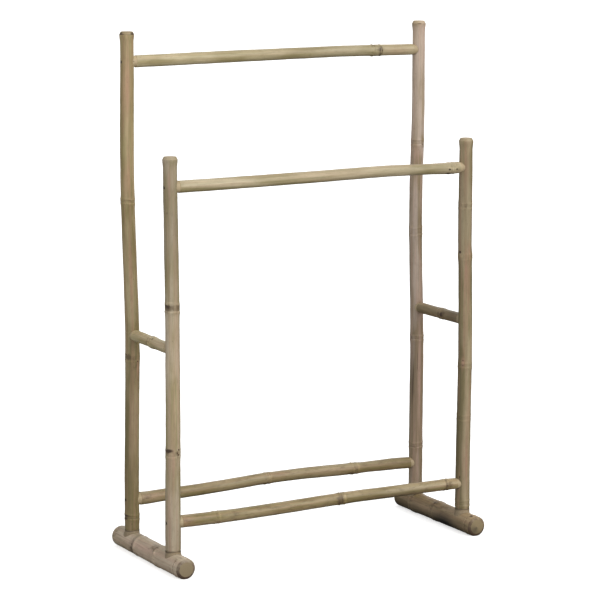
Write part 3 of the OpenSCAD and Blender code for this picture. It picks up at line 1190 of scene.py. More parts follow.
@dataclass
class Pole(Culm):
    """Rail, stretcher or rung: a turned tenon and a bore for a dowel at each end."""

    shoulders: tuple[float, float] = (19.5, 19.5)
    step: float = 0.75
    bore: float = 6.75
    bore_depth: float = 40.5

    def end_drop(self, along: Array) -> Array:
        """Turns down the tenons, with a shoulder half a millimetre long."""
        low = np.clip((self.shoulders[0] - along) / 0.5 + 0.5, 0, 1)
        high = np.clip((along - self.length + self.shoulders[1]) / 0.5 + 0.5, 0, 1)
        edge = 0.4 * (np.clip(1 - along / 0.4, 0, 1) + np.clip(1 - (self.length - along) / 0.4, 0, 1))
        return self.step * np.maximum(low, high) + edge

    def bare_at(self, along: Array) -> Array:
        """The tenons are bare."""
        low = 1 - rise(along, self.shoulders[0] - 0.3, self.shoulders[0] + 0.3)
        high = rise(along, self.length - self.shoulders[1] - 0.3, self.length - self.shoulders[1] + 0.3)
        return np.maximum(low, high)

    def row_zones(self) -> Zones:
        """Adds close rows at the shoulders and ends."""
        shoulders = [(self.shoulders[0], 1.2, 0.25), (self.length - self.shoulders[1], 1.2, 0.25)]
        return super().row_zones() + shoulders + [(0.4, 0.4, 0.4), (self.length - 0.4, 0.4, 0.4)]

    def bore_rows(self, end: float, inward: int) -> Pairs:
        """Rows of the bore at one end, from its floor's middle to its mouth."""
        share = self.bore / (self.girth[0][1] / 2 - self.step - 0.4)
        depths = (self.bore_depth, self.bore_depth, self.bore_depth - 0.6, self.bore_depth / 2, 0.4, 0.0)
        shares = (0.3 * share, share, share, share, share, share + 0.03)
        return tuple((s, end + inward * d) for s, d in zip(shares, depths))

    def first_cap(self) -> Pairs:
        """A blind bore for the dowel opens the start."""
        return self.bore_rows(0.0, 1)

    def last_cap(self) -> Pairs:
        """A blind bore for the dowel opens the end."""
        return self.bore_rows(self.length, -1)


@dataclass
class Foot(Culm):
    """Thick root culm lying on the floor: rounded ends, and a flat planed along its underside."""

    rounding: float = 5.0

    def end_drop(self, along: Array) -> Array:
        """Rounds both ends: the quarter circle of the rounding's radius, a little uneven."""
        near = np.minimum(along, self.length - along)
        inside = np.clip(self.rounding - near, 0, self.rounding)
        return self.rounding - np.sqrt(np.maximum(self.rounding**2 - inside**2, 0.0))

    def bare_at(self, along: Array) -> Array:
        """The rounded ends are sanded a quarter through."""
        near = np.minimum(along, self.length - along)
        return 0.15 * (1 - rise(near, 0.1 * self.rounding, 0.6 * self.rounding))

    def dark_at(self, along: Array, around: Array) -> Array:
        """Brown rubbed into the rounded ends, most of it low down."""
        near = np.minimum(along, self.length - along)
        low = 0.5 - 0.5 * np.sin(around + 0.5)
        return (0.42 + 0.4 * low) * (1 - rise(near, 0.3 * self.rounding, 1.1 * self.rounding))

    def row_zones(self) -> Zones:
        """Adds close rows at the rounded ends."""
        ends = [(3.0, 3.0, 0.3), (self.length - 3.0, 3.0, 0.3)]
        return super().row_zones() + ends

    def dome(self, end: float, outward: int) -> Pairs:
        """Rows of a slightly domed end, from its middle out."""
        shares = (0.12, 0.28, 0.44, 0.6, 0.76, 0.88, 0.96)
        return tuple((s, end + outward * 1.1 * (1 - s * s)) for s in shares)

    def first_cap(self) -> Pairs:
        """The rear end is closed by the wood between two hollows."""
        return self.dome(0.0, -1)

    def last_cap(self) -> Pairs:
        """The front end is closed by the wood between two hollows."""
        return self.dome(self.length, 1)

    def cap_stain(self, radius: Array, plain: Array) -> Array:
        """A darker ring round the edge, and a faint one where the wall ends."""
        return 0.5 * rise(radius, 0.66 * plain, 0.74 * plain) + 0.04 * hump(radius - 0.4 * plain, 0.9)

    def shape(self, points: Array) -> Array:
        """Planes the underside: no point lies below the floor."""
        planed = points.copy()
        planed[..., 1] = np.maximum(planed[..., 1], -FOOT_AXIS)
        return planed


# --------------------------------------------------------- small hardware


def across_axes(way: Sequence[float]) -> Array:
    """Three unit vectors, right-handed: two square to a way, and the way itself."""
    z_axis = np.array(way, float) / np.linalg.norm(way)
    helper = np.array([0.0, 0.0, 1.0]) if abs(z_axis[2]) < 0.9 else np.array([1.0, 0.0, 0.0])
    x_axis = np.cross(helper, z_axis)
    x_axis /= np.linalg.norm(x_axis)
    return np.stack([x_axis, np.cross(z_axis, x_axis), z_axis])


def turned(radius: Array, along: Array, columns_count: int) -> Array:
    """Points of a turned shape on its own axis.

    Args:
        radius: Radius by row and column.
        along: Place by row and column.
        columns_count: Number of even columns.

    Returns:
        Rows by columns by sideways, other way and along.
    """
    around = even_angles(columns_count)
    return np.stack([radius * np.cos(around), radius * np.sin(around), along], axis=-1)


@dataclass(frozen=True)
class Screw:
    """Countersunk wood screw with a cross recess.

    Attributes:
        head: Middle of the head's top.
        way: Unit vector from the head to the point.
        diameter: Outer diameter of the thread.
        head_d: Diameter of the head.
        length: Whole length.
    """

    head: Place
    way: Place
    diameter: float
    head_d: float
    length: float

    PITCH = 2.0
    RIM = 0.6
    RECESS = 1.1
    COLUMNS = 40

    def build_mesh(self, name: str) -> bpy.types.Mesh:
        """Makes the screw by turning its outline.

        The radius falls from the rim of the head along a cone to the plain
        shank, then follows a thread: the core plus a triangle wave of the
        place over the pitch less the share of the turn. The top of the head
        is sunk where two crossing slots are.

        Args:
            name: Name of the mesh.

        Returns:
            The mesh.
        """
        around = even_angles(self.COLUMNS)
        neck = self.RIM + (self.head_d - self.diameter) / 2
        rows = np.concatenate([
            np.linspace(0.08, self.RIM, 3), np.linspace(self.RIM, neck, 5)[1:],
            np.linspace(neck, neck + 4, 3)[1:],
            np.arange(neck + 4.3, self.length - 0.05, self.PITCH / 6),
        ])
        along, turn = np.meshgrid(rows, around, indexing="ij")
        core = self.diameter * 0.34
        wave = np.abs(((along / self.PITCH - turn / (2 * np.pi)) % 1.0) - 0.5) * 2
        thread = core + (self.diameter / 2 - core) * np.clip(2.2 * wave - 1.2, 0, 1)
        tip = np.clip((self.length - along) / (1.6 * self.diameter), 0.02, 1)
        started = rise(along, neck + 4, neck + 6)
        radius = (self.diameter / 2 - 0.25) * (1 - started) + thread * started
        cone = self.head_d / 2 - np.clip(along - self.RIM, 0, None)
        radius = np.where(along < neck, np.maximum(cone, self.diameter / 2 - 0.25), radius * tip)
        radius = np.where(along <= self.RIM, self.head_d / 2 - 0.08 * (along < 0.1), radius)
        shares = np.array([0.08, 0.2, 0.32, 0.44, 0.52, 0.6, 0.68, 0.8, 0.95])[:, None]
        top = shares * self.head_d / 2 + 0 * around[None, :]
        slot_x, slot_y = np.abs(top * np.cos(around)), np.abs(top * np.sin(around))
        arm = np.minimum(slot_x, slot_y)
        reach = np.maximum(slot_x, slot_y)
        recess = (1 - rise(arm, 0.3, 0.5)) * (1 - rise(reach, self.head_d * 0.27, self.head_d * 0.33))
        depth = self.RECESS * recess + 0.02
        radius = np.vstack([top, radius])
        along = np.vstack([depth, along])
        tips = np.array([[0, 0, self.RECESS + 0.02], [0, 0, self.length]])
        points = turned(radius, along, self.COLUMNS)
        axes, head = across_axes(self.way), np.array(self.head)
        return grid_mesh(name, points @ axes + head, tips @ axes + head)


@dataclass(frozen=True)
class Dowel:
    """Fluted beech dowel, bored at one end for a screw.

    Attributes:
        start: Middle of its bored end.
        way: Unit vector along it.
        radius: Its radius over the ridges.
        length: Its length.
        bore: Radius of the screw hole.
        bore_depth: Depth of the screw hole.
    """

    start: Place
    way: Place
    radius: float
    length: float
    bore: float
    bore_depth: float

    FLUTES = 14
    FLUTE_DEPTH = 0.35
    COLUMNS = 84

    def build_mesh(self, name: str) -> bpy.types.Mesh:
        """Makes the dowel by turning its outline, less a cosine of the flutes.

        Args:
            name: Name of the mesh.

        Returns:
            The mesh, with its grain attribute.
        """
        around = even_angles(self.COLUMNS)
        outline = np.array([
            (self.bore * 0.5, self.bore_depth + 0.8), (self.bore, self.bore_depth), (self.bore, 0.0),
            (self.radius - 0.8, 0.0), (self.radius, 0.8), (self.radius, self.length / 2),
            (self.radius, self.length - 0.8), (self.radius - 0.8, self.length),
            (self.radius * 0.5, self.length),
        ])
        flute = self.FLUTE_DEPTH * (0.5 - 0.5 * np.cos(self.FLUTES * around))
        on_side = np.array([0, 0, 0, 0, 1, 1, 1, 0, 0])[:, None]
        radius = outline[:, :1] - on_side * flute[None, :]
        along = outline[:, 1:] + 0 * around[None, :]
        local = turned(radius, along, self.COLUMNS)
        tips = np.array([[0, 0, self.bore_depth + 1.2], [0, 0, self.length]])
        axes, start = across_axes(self.way), np.array(self.start)
        mesh = grid_mesh(name, local @ axes + start, tips @ axes + start)
        put_vector(mesh, "grain", np.vstack([local.reshape(-1, 3), tips]))
        return mesh


@dataclass(frozen=True)
class Collar:
    """Ring of filler that eases a post into its foot.

    Attributes:
        centre: Sideways and forward place of the post.
        post_r: Radius of the post just above the foot.
        tenon_r: Radius of the post's tenon.
        spread: How far it spreads out over the foot.
        climb: How far it climbs the post.
    """

    centre: tuple[float, float]
    post_r: float
    tenon_r: float
    spread: float
    climb: float

    COLUMNS = 120

    def build_mesh(self, name: str, seed: int) -> bpy.types.Mesh:
        """Makes the collar as a ring whose section rides over the round foot.

        With t from 0 at the outer edge to 1 at the top, the distance from the
        post falls as one less the sine of a quarter turn of t, and the height
        above the foot grows as one less its cosine. The height of the foot is
        that of its circle under the outer edge, and eases to its crest.

        Args:
            name: Name of the mesh.
            seed: Chooses the unevenness of the edge.

        Returns:
            The mesh, with its marks attribute.
        """
        around = even_angles(self.COLUMNS)
        t = np.linspace(0, 1, 13)[:, None]
        edge = self.tenon_r + self.spread + 0.5 * waves(around * 8, around, seed, (19.0, 31.0), 3)
        top_r = self.post_r + 0.05
        out = edge - (edge - top_r) * np.sin(t * np.pi / 2)
        crest = FOOT_AXIS + FOOT_R
        across = np.clip(out * np.cos(around), -FOOT_R * 0.98, FOOT_R * 0.98)
        foot = FOOT_AXIS + np.sqrt(FOOT_R**2 - across**2)
        climb = self.climb * (1 + 0.06 * np.sin(2 * around + seed))
        height = foot + (crest - foot) * t**3 + climb * (1 - np.cos(t * np.pi / 2)) + 0.12
        inner_r = np.array([top_r, self.tenon_r + GLUE, self.tenon_r + GLUE])[:, None] + 0 * around[None, :]
        under = FOOT_AXIS + np.sqrt(FOOT_R**2 - (self.tenon_r * np.cos(around)) ** 2)
        inner_z = np.stack([height[-1] - 2.5, under + 1.5, under - 0.3])
        last_out = edge[None, :] - 0.2
        last_across = np.clip(last_out * np.cos(around), 0.5 - FOOT_R, FOOT_R - 0.5)
        last_foot = FOOT_AXIS + np.sqrt(FOOT_R**2 - last_across**2)
        radius = np.vstack([out, inner_r, last_out])
        height = np.vstack([height, inner_z, last_foot - 0.25])
        points = turned(radius, height, self.COLUMNS) + [*self.centre, 0.0]
        mesh = grid_mesh(name, points, None)
        dark = 0.15 * (1 - t) ** 3 + 0.75 * rise(t, 0.8, 1.0) + 0 * around
        flat = np.vstack([dark, np.ones((4, len(around)))]).reshape(-1, 1)
        put_colour(mesh, "marks", np.hstack([flat, 0 * flat, 0 * flat]))
        return mesh


# ---------------------------------------------------------- sub-assemblies


def millimetres(node: str) -> tuple[Array, Array]:
    """Lowest and highest corner of a CAD node, in millimetres."""
    low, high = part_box(node)
    return np.array(low) / MM, np.array(high) / MM


@dataclass
class CrossFrame:
    """One frame of the rack: two posts, a towel rail, a stretcher, their dowels and screws.

    Attributes:
        where: "rear" or "front", as in the names of its nodes.
        posts: Left and right post.
        rail: Its towel rail.
        stretcher: Its stretcher.
    """

    where: str
    posts: tuple[Post, Post]
    rail: Pole
    stretcher: Pole

    def make(self) -> None:
        """Makes the four culms of the frame."""
        for culm in (*self.posts, self.rail, self.stretcher):
            culm.make()

    def make_dowels(self, finish: bpy.types.Material) -> None:
        """Makes the dowels in the ends of the rail and the stretcher.

        Args:
            finish: The dowels' material.
        """
        for pole, label in ((self.rail, "rail"), (self.stretcher, "stretcher")):
            meshes = [pole_dowel(pole, *end).build_mesh(label) for end in pole_ends(pole)]
            dowel_set(f"{self.where}_{label}", meshes, finish)

    def screws(self, pole: Pole) -> list[Screw]:
        """The two screws through the posts into the ends of a pole.

        Args:
            pole: The rail or the stretcher.

        Returns:
            The screws.
        """
        made = []
        height = pole.origin[2]
        for post, side in zip(self.posts, (-1, 1)):
            outer = at_place(height - post.origin[2], post.girth) / 2 - SCREW_SINK
            head = (post.origin[0] + side * outer, post.origin[1], height)
            made.append(Screw(head, (-side, 0, 0), *POLE_SCREW))
        return made


def dowel_set(where: str, meshes: Sequence[bpy.types.Mesh], finish: bpy.types.Material) -> None:
    """Makes one node's dowels as one piece."""
    name = f"{where}_beech_dowels"
    finish_piece(name, join_meshes(name, meshes), finish, f"{where}_dowels")


def pole_dowel(pole: Pole, start: Place, way: Place) -> Dowel:
    """The dowel in one end of a pole."""
    return Dowel(start, way, pole.bore - GLUE, length=40.0, bore=1.8, bore_depth=34.0)


def pole_ends(pole: Pole) -> list[tuple[Place, Place]]:
    """Middle of each end of a pole on its bent centre line, and the way inwards."""
    turn = np.array(pole.way.value, float)
    ends = []
    for place, inward in ((0.0, 1.0), (pole.length, -1.0)):
        local = np.array([at_place(place, pole.sway), at_place(place, pole.bow), place])
        ends.append((tuple(np.array(pole.origin) + local @ turn), tuple(inward * turn[2])))
    return ends


def wood(name: str, straw: str, olive: str, blush: str, seed: float, **more: object) -> BambooFinish:
    """A bamboo finish in a given set of colours."""
    return BambooFinish(f"bamboo culm, sanded and varnished, {name}", straw, olive, blush, seed, **more)


def side_of(node: str) -> int:
    """-1 for a node on the left and 1 for one on the right."""
    return -1 if node.startswith("left") else 1


def frame_of(node: str) -> str:
    """The frame in a node's name, "rear" or "front"."""
    return "rear" if "rear" in node else "front"


def shifted(knots: Pairs, shift: float) -> Pairs:
    """Knots of a curve, moved along it."""
    return tuple((place + shift, value) for place, value in knots)


@dataclass
class RackLayout:
    """Places of the culms, read from the CAD nodes.

    Attributes:
        post_low: Height of the posts' bottom ends.
        half_span: Sideways distance of the posts from the middle.
        frame_y: Distance of each frame from the middle.
        rung_height: Height of the rungs' centre lines.
        rung_length: Length of the rungs with their tenons.
        tenon_past: Distance that a tenon runs past the centre of its post.
        foot_inset: Distance of a visible foot's ends from the CAD's.
    """

    post_low: float = field(init=False)
    half_span: float = field(init=False)
    frame_y: dict[str, float] = field(init=False)
    rung_height: float = field(init=False)
    rung_length: float = field(init=False)
    tenon_past: float = 4.5
    foot_inset: float = 1.0

    def __post_init__(self) -> None:
        """Reads the boxes of the CAD nodes."""
        low, high = millimetres("right_rear_post")
        self.post_low = low[2]
        self.half_span = (low[0] + high[0]) / 2
        middles = {frame: np.add(*millimetres(f"right_{frame}_post")) / 2 for frame in ("rear", "front")}
        self.frame_y = {frame: middle[1] for frame, middle in middles.items()}
        self.rung_height = self.height("left_side_rung")
        self.rung_length = self.frame_y["rear"] - self.frame_y["front"] + 2 * self.tenon_past

    def height(self, node: str) -> float:
        """Height of a level culm's centre line."""
        low, high = millimetres(node)
        return float((low[2] + high[2]) / 2)

    def top(self, node: str) -> float:
        """Height of a post's top."""
        return float(millimetres(node)[1][2])

    def foot_start(self, node: str) -> float:
        """Place of a foot's rear end."""
        return float(millimetres(node)[1][1]) - self.foot_inset

    def foot_length(self, node: str) -> float:
        """Length of a foot."""
        low, high = millimetres(node)
        return float(high[1] - low[1]) - 2 * self.foot_inset


class Workshop:
    """Builds the whole rack in order, from its layout."""

    # Sideways shift of each post's centre line by height above the floor:
    # a grown culm is never straight, and is true only where the rails pull it in.
    SWAY = {
        "left_rear_post": (
            (92, 0), (240, 2.2), (382, 4.2), (480, 2.0), (560, -0.2), (640, -1.8), (720, -1.7), (800, -0.6),
            (849, 0),
        ),
        "left_front_post": (
            (87, 0), (160, 0.6), (240, 1.7), (360, 1.9), (480, 2.0), (560, 1.1), (600, 0.8), (654, 0),
        ),
        "right_rear_post": (
            (92, 0), (200, 0.3), (280, 0.8), (360, 0.2), (400, -0.7), (440, -2.0), (520, -3.7), (600, -3.4),
            (682, -1.1), (720, -0.3), (849, 0),
        ),
        "right_front_post": (
            (87, 0), (160, 0.5), (240, 1.6), (320, 2.6), (360, 2.4), (400, 2.1), (440, 1.4), (480, 0.9),
            (520, -0.3), (560, -0.5), (654, 0),
        ),
    }

    def __init__(self) -> None:
        """Reads the layout and makes the shared finishes."""
        self.at = RackLayout()
        self.dowel_finish = DowelFinish().build()
        self.screw_finish = ScrewFinish().build()
        self.filler_finish = FillerFinish().build()

    def post(self, node: str, girth: Pairs, light: Pairs, **grown: object) -> Post:
        """One post with its sockets and screw holes.

        Args:
            node: The CAD node's name, such as "left_rear_post".
            girth: Pairs of height above the floor and diameter.
            light: Pairs of height above the floor and lightness.
            **grown: Its finish, rings, seed and marks, by height above its bottom end.

        Returns:
            The post.
        """
        at = self.at
        low = at.post_low
        side = side_of(node)
        frame = frame_of(node)
        rail = at.height(f"{frame}_towel_rail") - low
        stretcher = at.height(f"{frame}_stretcher") - low
        rung = at.rung_height - low
        local = shifted(girth, -low)
        out = 180.0 if side < 0 else 0.0

        def screw_hole(z: float, angle: float) -> Sink:
            """A screw hole at a height above the post's bottom end."""
            return screw_sink(z, angle, at_place(z, local) / 2, POLE_SCREW, POST_SCREW_FLOOR)

        def post_socket(z: float, angle: float, tenon_r: float) -> Sink:
            """A socket at a height above the post's bottom end."""
            return socket(z, angle, tenon_r, POST_SOCKET_FLOOR, POST_CELL)

        sinks = [
            post_socket(rail, 180.0 - out, RAIL_TENON_R),
            post_socket(stretcher, 180.0 - out, STRETCHER_TENON_R),
            screw_hole(rail, out),
            screw_hole(stretcher, out),
            post_socket(rung, 270.0 if frame == "rear" else 90.0, RUNG_TENON_R),
        ]
        if frame == "rear":
            sinks.append(screw_hole(rung, 90.0))
        return Post(
            node=node,
            way=Way.UP,
            origin=(side * at.half_span, at.frame_y[frame], low),
            length=at.top(node) - low - 0.25,
            girth=local,
            sway=shifted(self.SWAY[node], -low),
            taper=4.5 if side < 0 else 8.0,
            light=shifted(light, -low),
            sinks=tuple(sinks),
            column_count=104,
            **grown,
        )

    def posts(self) -> dict[str, Post]:
        """The four posts, by node."""
        left_rear = self.post(
            "left_rear_post",
            finish=wood("olive straw", "#b6a67d", "#877a4c", "#b39072", 1.3, blush_share=0.4),
            girth=((8, 25.3), (120, 25.0), (400, 24.6), (650, 23.9), (860, 23.2), (900, 23.0)),
            rings=(
                Ring(54, stain=0.45, towards=200, gap=7.0, bud=195, bud_height=0.4),
                Ring(
                    335, swell=0.4, lip=0.2, ridge=0.15, groove=0.1, stain=0.12, dirt=0.55, towards=30,
                    gap=9.0, bud=20, bud_height=0.5,
                ),
                Ring(605, stain=0.3, towards=200, gap=7.0, bud=170, bud_height=0.4),
            ),
            seed=11,
            marks=marks_of({
                Kind.STAIN: (
                    (57.5, 188, 1.5, 5, 0.8), (51, 192, 1.6, 4.5, 0.8), (42.6, 243, 2.6, 0.9, 0.8),
                    (340, 187, 1.4, 1.6, 1.0), (334, 165, 7, 1.6, 0.9), (328.5, 288, 1.2, 1.1, 1.2),
                    (303, 271, 6, 0.8, 0.5), (603, 165, 2.5, 3, 0.7), (614, 190, 2, 1.5, 0.4),
                    (866, 250, 3.5, 0.5, 0.45), (887.5, 240, 0.8, 60, 0.5), (889, 185, 2.4, 5, 0.7),
                    (889, 297, 2.4, 5, 0.7),
                ),
                Kind.MOSS: (
                    (50, 240, 70, 60, 0.85), (220, 200, 110, 9, 0.5), (300, 235, 45, 6, 0.5),
                    (588, 250, 14, 8, 0.6), (780, 240, 130, 60, -0.3), (790, 200, 80, 6, 0.7),
                ),
                Kind.BLUSH: (
                    (215, 250, 100, 6, 0.5), (318, 296, 14, 3, 0.9), (640, 240, 32, 6, 0.6),
                    (800, 246, 60, 5.5, 0.9), (480, 255, 60, 4, 0.5),
                ),
                Kind.DIRT: ((336, 208, 4.5, 7, 0.9), (318, 268, 9, 4, 0.6)),
                Kind.BARE: ((608, 275, 1.3, 1.2, 0.8),),
                Kind.DARK: ((890.5, 240, 2.2, 60, 0.6),),
            }),
            light=(
                (8, 0.86), (60, 0.84), (120, 0.76), (230, 0.76), (420, 0.9), (560, 1.03), (760, 1.13),
                (900, 1.14),
            ),
        )
        right_rear = self.post(
            "right_rear_post",
            finish=wood("pale straw", "#c2af9d", "#958263", "#be9e8a", 2.1),
            girth=((8, 25.2), (120, 24.9), (400, 24.0), (650, 23.3), (860, 22.3), (900, 22.2)),
            rings=(
                Ring(118, stain=0.4, towards=10, bud=20, bud_height=0.5),
                Ring(317, stain=0.35, towards=190, gap=7.0, bud=195, bud_height=0.5),
                Ring(514, stain=0.3, towards=20, gap=12.5, bud=15, bud_height=0.4, swell=0.55),
                Ring(674, stain=0.3, towards=200, gap=9.0, bud=290, bud_height=0.5),
            ),
            seed=12,
            marks=marks_of({
                Kind.STAIN: (
                    (236, 207, 46, 1.3, 0.85, 0.012), (245, 188, 55, 2.5, 0.4), (282, 245, 17, 0.7, 0.75),
                    (262, 246, 9, 0.6, 0.6), (668, 290, 4, 1.4, 0.6), (646, 284, 8, 1.3, 0.5),
                    (887, 242, 0.9, 4.5, 0.8),
                ),
                # Painted shade: the DARK band darkens the post's left side, away from the light.
                Kind.DARK: ((250, 200, 75, 9, 0.35),),
                Kind.MOSS: (
                    (220, 240, 130, 60, 0.6), (290, 245, 45, 4, 0.8), (325, 250, 6, 16, 0.7),
                    (520, 285, 40, 5, 0.6), (681, 285, 10, 4, 0.9), (640, 262, 13, 5, 0.6),
                    (800, 240, 110, 60, -0.25), (887, 240, 5, 40, 0.5),
                ),
                Kind.BLUSH: ((230, 262, 110, 6, 0.5), (655, 235, 14, 8, 0.5), (820, 240, 90, 60, -0.25)),
                Kind.BARE: ((310, 200, 1.5, 1.4, 0.9), (523, 211, 1.2, 1.2, 0.9)),
            }),
            light=((8, 0.8), (200, 0.82), (420, 0.85), (600, 0.93), (760, 1.1), (900, 1.18)),
        )
        left_front = self.post(
            "left_front_post",
            finish=wood("greyed straw", "#b7a88e", "#958862", "#b0927a", 3.7, blush_share=0.4),
            girth=((8, 26.0), (60, 26.2), (150, 25.6), (400, 24.6), (650, 23.6), (705, 23.4)),
            rings=(
                Ring(
                    199, stain=0.2, towards=20, gap=10.0, groove=0.2, lip=0.3, ridge=0.25, bud=210,
                    bud_height=0.35,
                ),
                Ring(
                    445, stain=0.3, towards=190, gap=12.0, groove=0.25, lip=0.6, dirt=0.5, bud=215,
                    bud_height=0.4,
                ),
            ),
            seed=13,
            marks=marks_of({
                Kind.STAIN: (
                    (448, 201, 3.8, 6.5, 0.7), (204.5, 209, 2.6, 7.5, 1.2), (205.7, 292, 1.5, 1.5, 1.4),
                    (200, 276, 1.2, 1.0, 1.3), (197, 288, 1.3, 1.2, 1.3), (604, 214, 2.6, 2.2, 0.5),
                    (640, 228, 2, 1.2, 0.4),
                ),
                Kind.DIRT: (
                    (445.5, 215, 5.5, 10, 1.0), (447, 298, 5.5, 4, 0.9), (203, 205, 5, 8, 1.0),
                    (200, 283, 6, 5, 0.7),
                ),
                Kind.PALE: ((455.5, 225, 1.2, 7, 0.5),),
                Kind.MOSS: ((222, 262, 14, 4, 0.7), (520, 200, 60, 7, 0.5)),
                Kind.BLUSH: ((180, 235, 25, 10, 0.4), (655, 235, 22, 4, 0.6), (90, 215, 60, 4, 0.7)),
                Kind.CRACK: ((601, 252, 6, 0.7, 0.5, 0.12),),
            }),
            light=((8, 0.86), (60, 0.88), (150, 1.0), (290, 1.2), (420, 1.12), (600, 0.9), (705, 0.98)),
        )
        right_front = self.post(
            "right_front_post",
            finish=wood("warm straw", "#ab9b7a", "#7e714c", "#a8866c", 4.9),
            girth=((8, 26.0), (60, 26.0), (150, 25.6), (400, 24.6), (650, 23.6), (705, 23.4)),
            rings=(
                Ring(44, stain=0.25, towards=10, swell=0.3, lip=0.25),
                Ring(200, swell=0.3, lip=0.2, ridge=0.2, groove=0.12, stain=0.15, towards=80),
                Ring(
                    294, lip=0.25, ridge=0.2, groove=0.15, stain=0.2, towards=200, gap=7.0, bud=215,
                    bud_height=0.25,
                ),
                Ring(
                    489, swell=0.9, lip=0.15, ridge=0.15, groove=0.08, stain=0.08, dirt=0.15, towards=30,
                    gap=8.0, bud=195, bud_height=0.5,
                ),
                Ring(578, swell=0.3, lip=0.2, ridge=0.2, groove=0.12, stain=0.15, towards=200),
            ),
            seed=14,
            marks=marks_of({
                Kind.STAIN: (
                    (496.5, 193, 2.1, 2.1, 1.8), (303, 221, 1.8, 1.8, 0.7), (294, 221, 1.2, 2.2, 0.4),
                    (91.5, 214, 2.4, 1.5, 1.0), (280, 296, 10, 1.2, 0.5),
                ),
                Kind.MOSS: (
                    (492, 270, 12, 9, 0.5), (400, 190, 110, 9, 0.7), (170, 195, 120, 9, 0.9),
                    (270, 280, 30, 4, 0.5),
                ),
                Kind.PALE: ((490, 203, 2.6, 3.6, 0.5), (490, 268, 9, 6, 0.25)),
                Kind.BLUSH: (
                    (500, 282, 14, 5, 0.5), (299, 222, 9, 4, 0.9), (470, 245, 50, 3.5, 0.6),
                    (640, 240, 50, 4, 0.5), (110, 262, 40, 5, 0.5),
                ),
                # Painted shade: the DARK band darkens the post's left side, away from the light.
                Kind.DARK: ((200, 175, 140, 8, 0.4),),
            }),
            light=(
                (8, 0.88), (120, 0.87), (300, 0.97), (400, 1.03), (500, 0.96), (570, 0.88), (640, 0.94),
                (705, 1.02),
            ),
        )
        return {post.node: post for post in (left_rear, right_rear, left_front, right_front)}

    def pole(self, node: str, girth: Pairs, bow: Pairs, light: Pairs, **grown: object) -> Pole:
        """A rail or a stretcher between the posts of one frame.

        Args:
            node: The CAD node's name, such as "front_towel_rail".
            girth: Pairs of sideways place on the rack and diameter.
            bow: Pairs of sideways place on the rack and upward bow.
            light: Pairs of sideways place and lightness.
            **grown: Its finish, rings, seed and marks, by distance from its left end.

        Returns:
            The pole.
        """
        at = self.at
        start = -at.half_span - at.tenon_past
        return Pole(
            node=node,
            way=Way.ACROSS,
            origin=(start, at.frame_y[frame_of(node)], at.height(node)),
            length=-2 * start,
            girth=shifted(girth, -start),
            bow=shifted(bow, -start),
            light=shifted(light, -start),
            bore=girth[0][1] / 2 - 3.2,
            **grown,
        )

    def rails(self) -> dict[str, Pole]:
        """The two towel rails and the two stretchers, by node."""
        rear_towel_rail = self.pole(
            "rear_towel_rail",
            finish=wood("rear rail", "#c5b793", "#9c8f64", "#bca382", 5.5, blush_share=0.3),
            girth=((-290, 20.6), (-200, 20.6), (0, 20.2), (150, 19.9), (290, 19.3)),
            rings=(
                
                Ring(
                    490.6, swell=0.5, lip=0.9, ridge=0.6, groove=0.5, stain=0.7, dirt=0.35, gap=15.0,
                    tilt=0.4,
                ),
            ),
            seed=21,
            bow=((-288, 0), (-215, 0.5), (50, 2.0), (160, 2.0), (200, 1.3), (255, 0.5), (288, 0)),
            light=((-290, 1.12), (-150, 1.1), (0, 0.98), (110, 0.88), (200, 0.95), (290, 1.0)),
            marks=marks_of({
                Kind.STAIN: (
                    (498.6, 150, 1.0, 2.6, 0.9), (499.2, 180, 1.2, 2.2, 0.9), (498.8, 208, 1.2, 2.6, 0.9),
                    (494, 165, 3.0, 3.0, 0.35), (12.5, 130, 0.6, 6, 0.6), (12.5, 175, 1.0, 1.5, 0.8),
                ),
                Kind.DIRT: ((495, 190, 4, 9, 0.6), (481, 105, 3.5, 7, 0.55), (481, 252, 4, 7, 0.7)),
                Kind.BLUSH: ((530, 200, 30, 7, 0.7), (530, 130, 30, 5, 0.4)),
            }),
        )
        front_towel_rail = self.pole(
            "front_towel_rail",
            finish=wood("front rail", "#c7b898", "#9f926a", "#bea586", 6.1, blush_share=0.35),
            girth=((-290, 20.4), (-150, 20.4), (150, 19.6), (215, 18.8), (250, 20.0), (290, 19.6)),
            rings=(
                Ring(
                    548, swell=0.4, lip=0.4, ridge=0.3, groove=0.2, stain=0.15, gap=8.0, tilt=0.3,
                    growth=-1,
                ),
            ),
            seed=22,
            bow=((-288, 0), (-150, 0.2), (0, 1.0), (150, 1.9), (205, 0.8), (235, 0), (288, 0)),
            light=((-290, 1.05), (100, 1.0), (220, 0.95), (290, 0.95)),
            marks=marks_of({
                Kind.STAIN: (
                    (541, 186, 2.6, 1.9, 1.1), (556, 188, 2.2, 1.7, 1.0), (546, 192, 1.0, 2.4, 0.45),
                    (540, 235, 6, 3, 0.9),
                ),
                Kind.PALE: (
                    (541, 165, 4.0, 2.6, 0.5), (548, 175, 1.8, 5.0, 0.6), (556, 168, 3.4, 2.4, 0.5),
                    (565, 180, 3.0, 14, 0.4),
                ),
            }),
        )
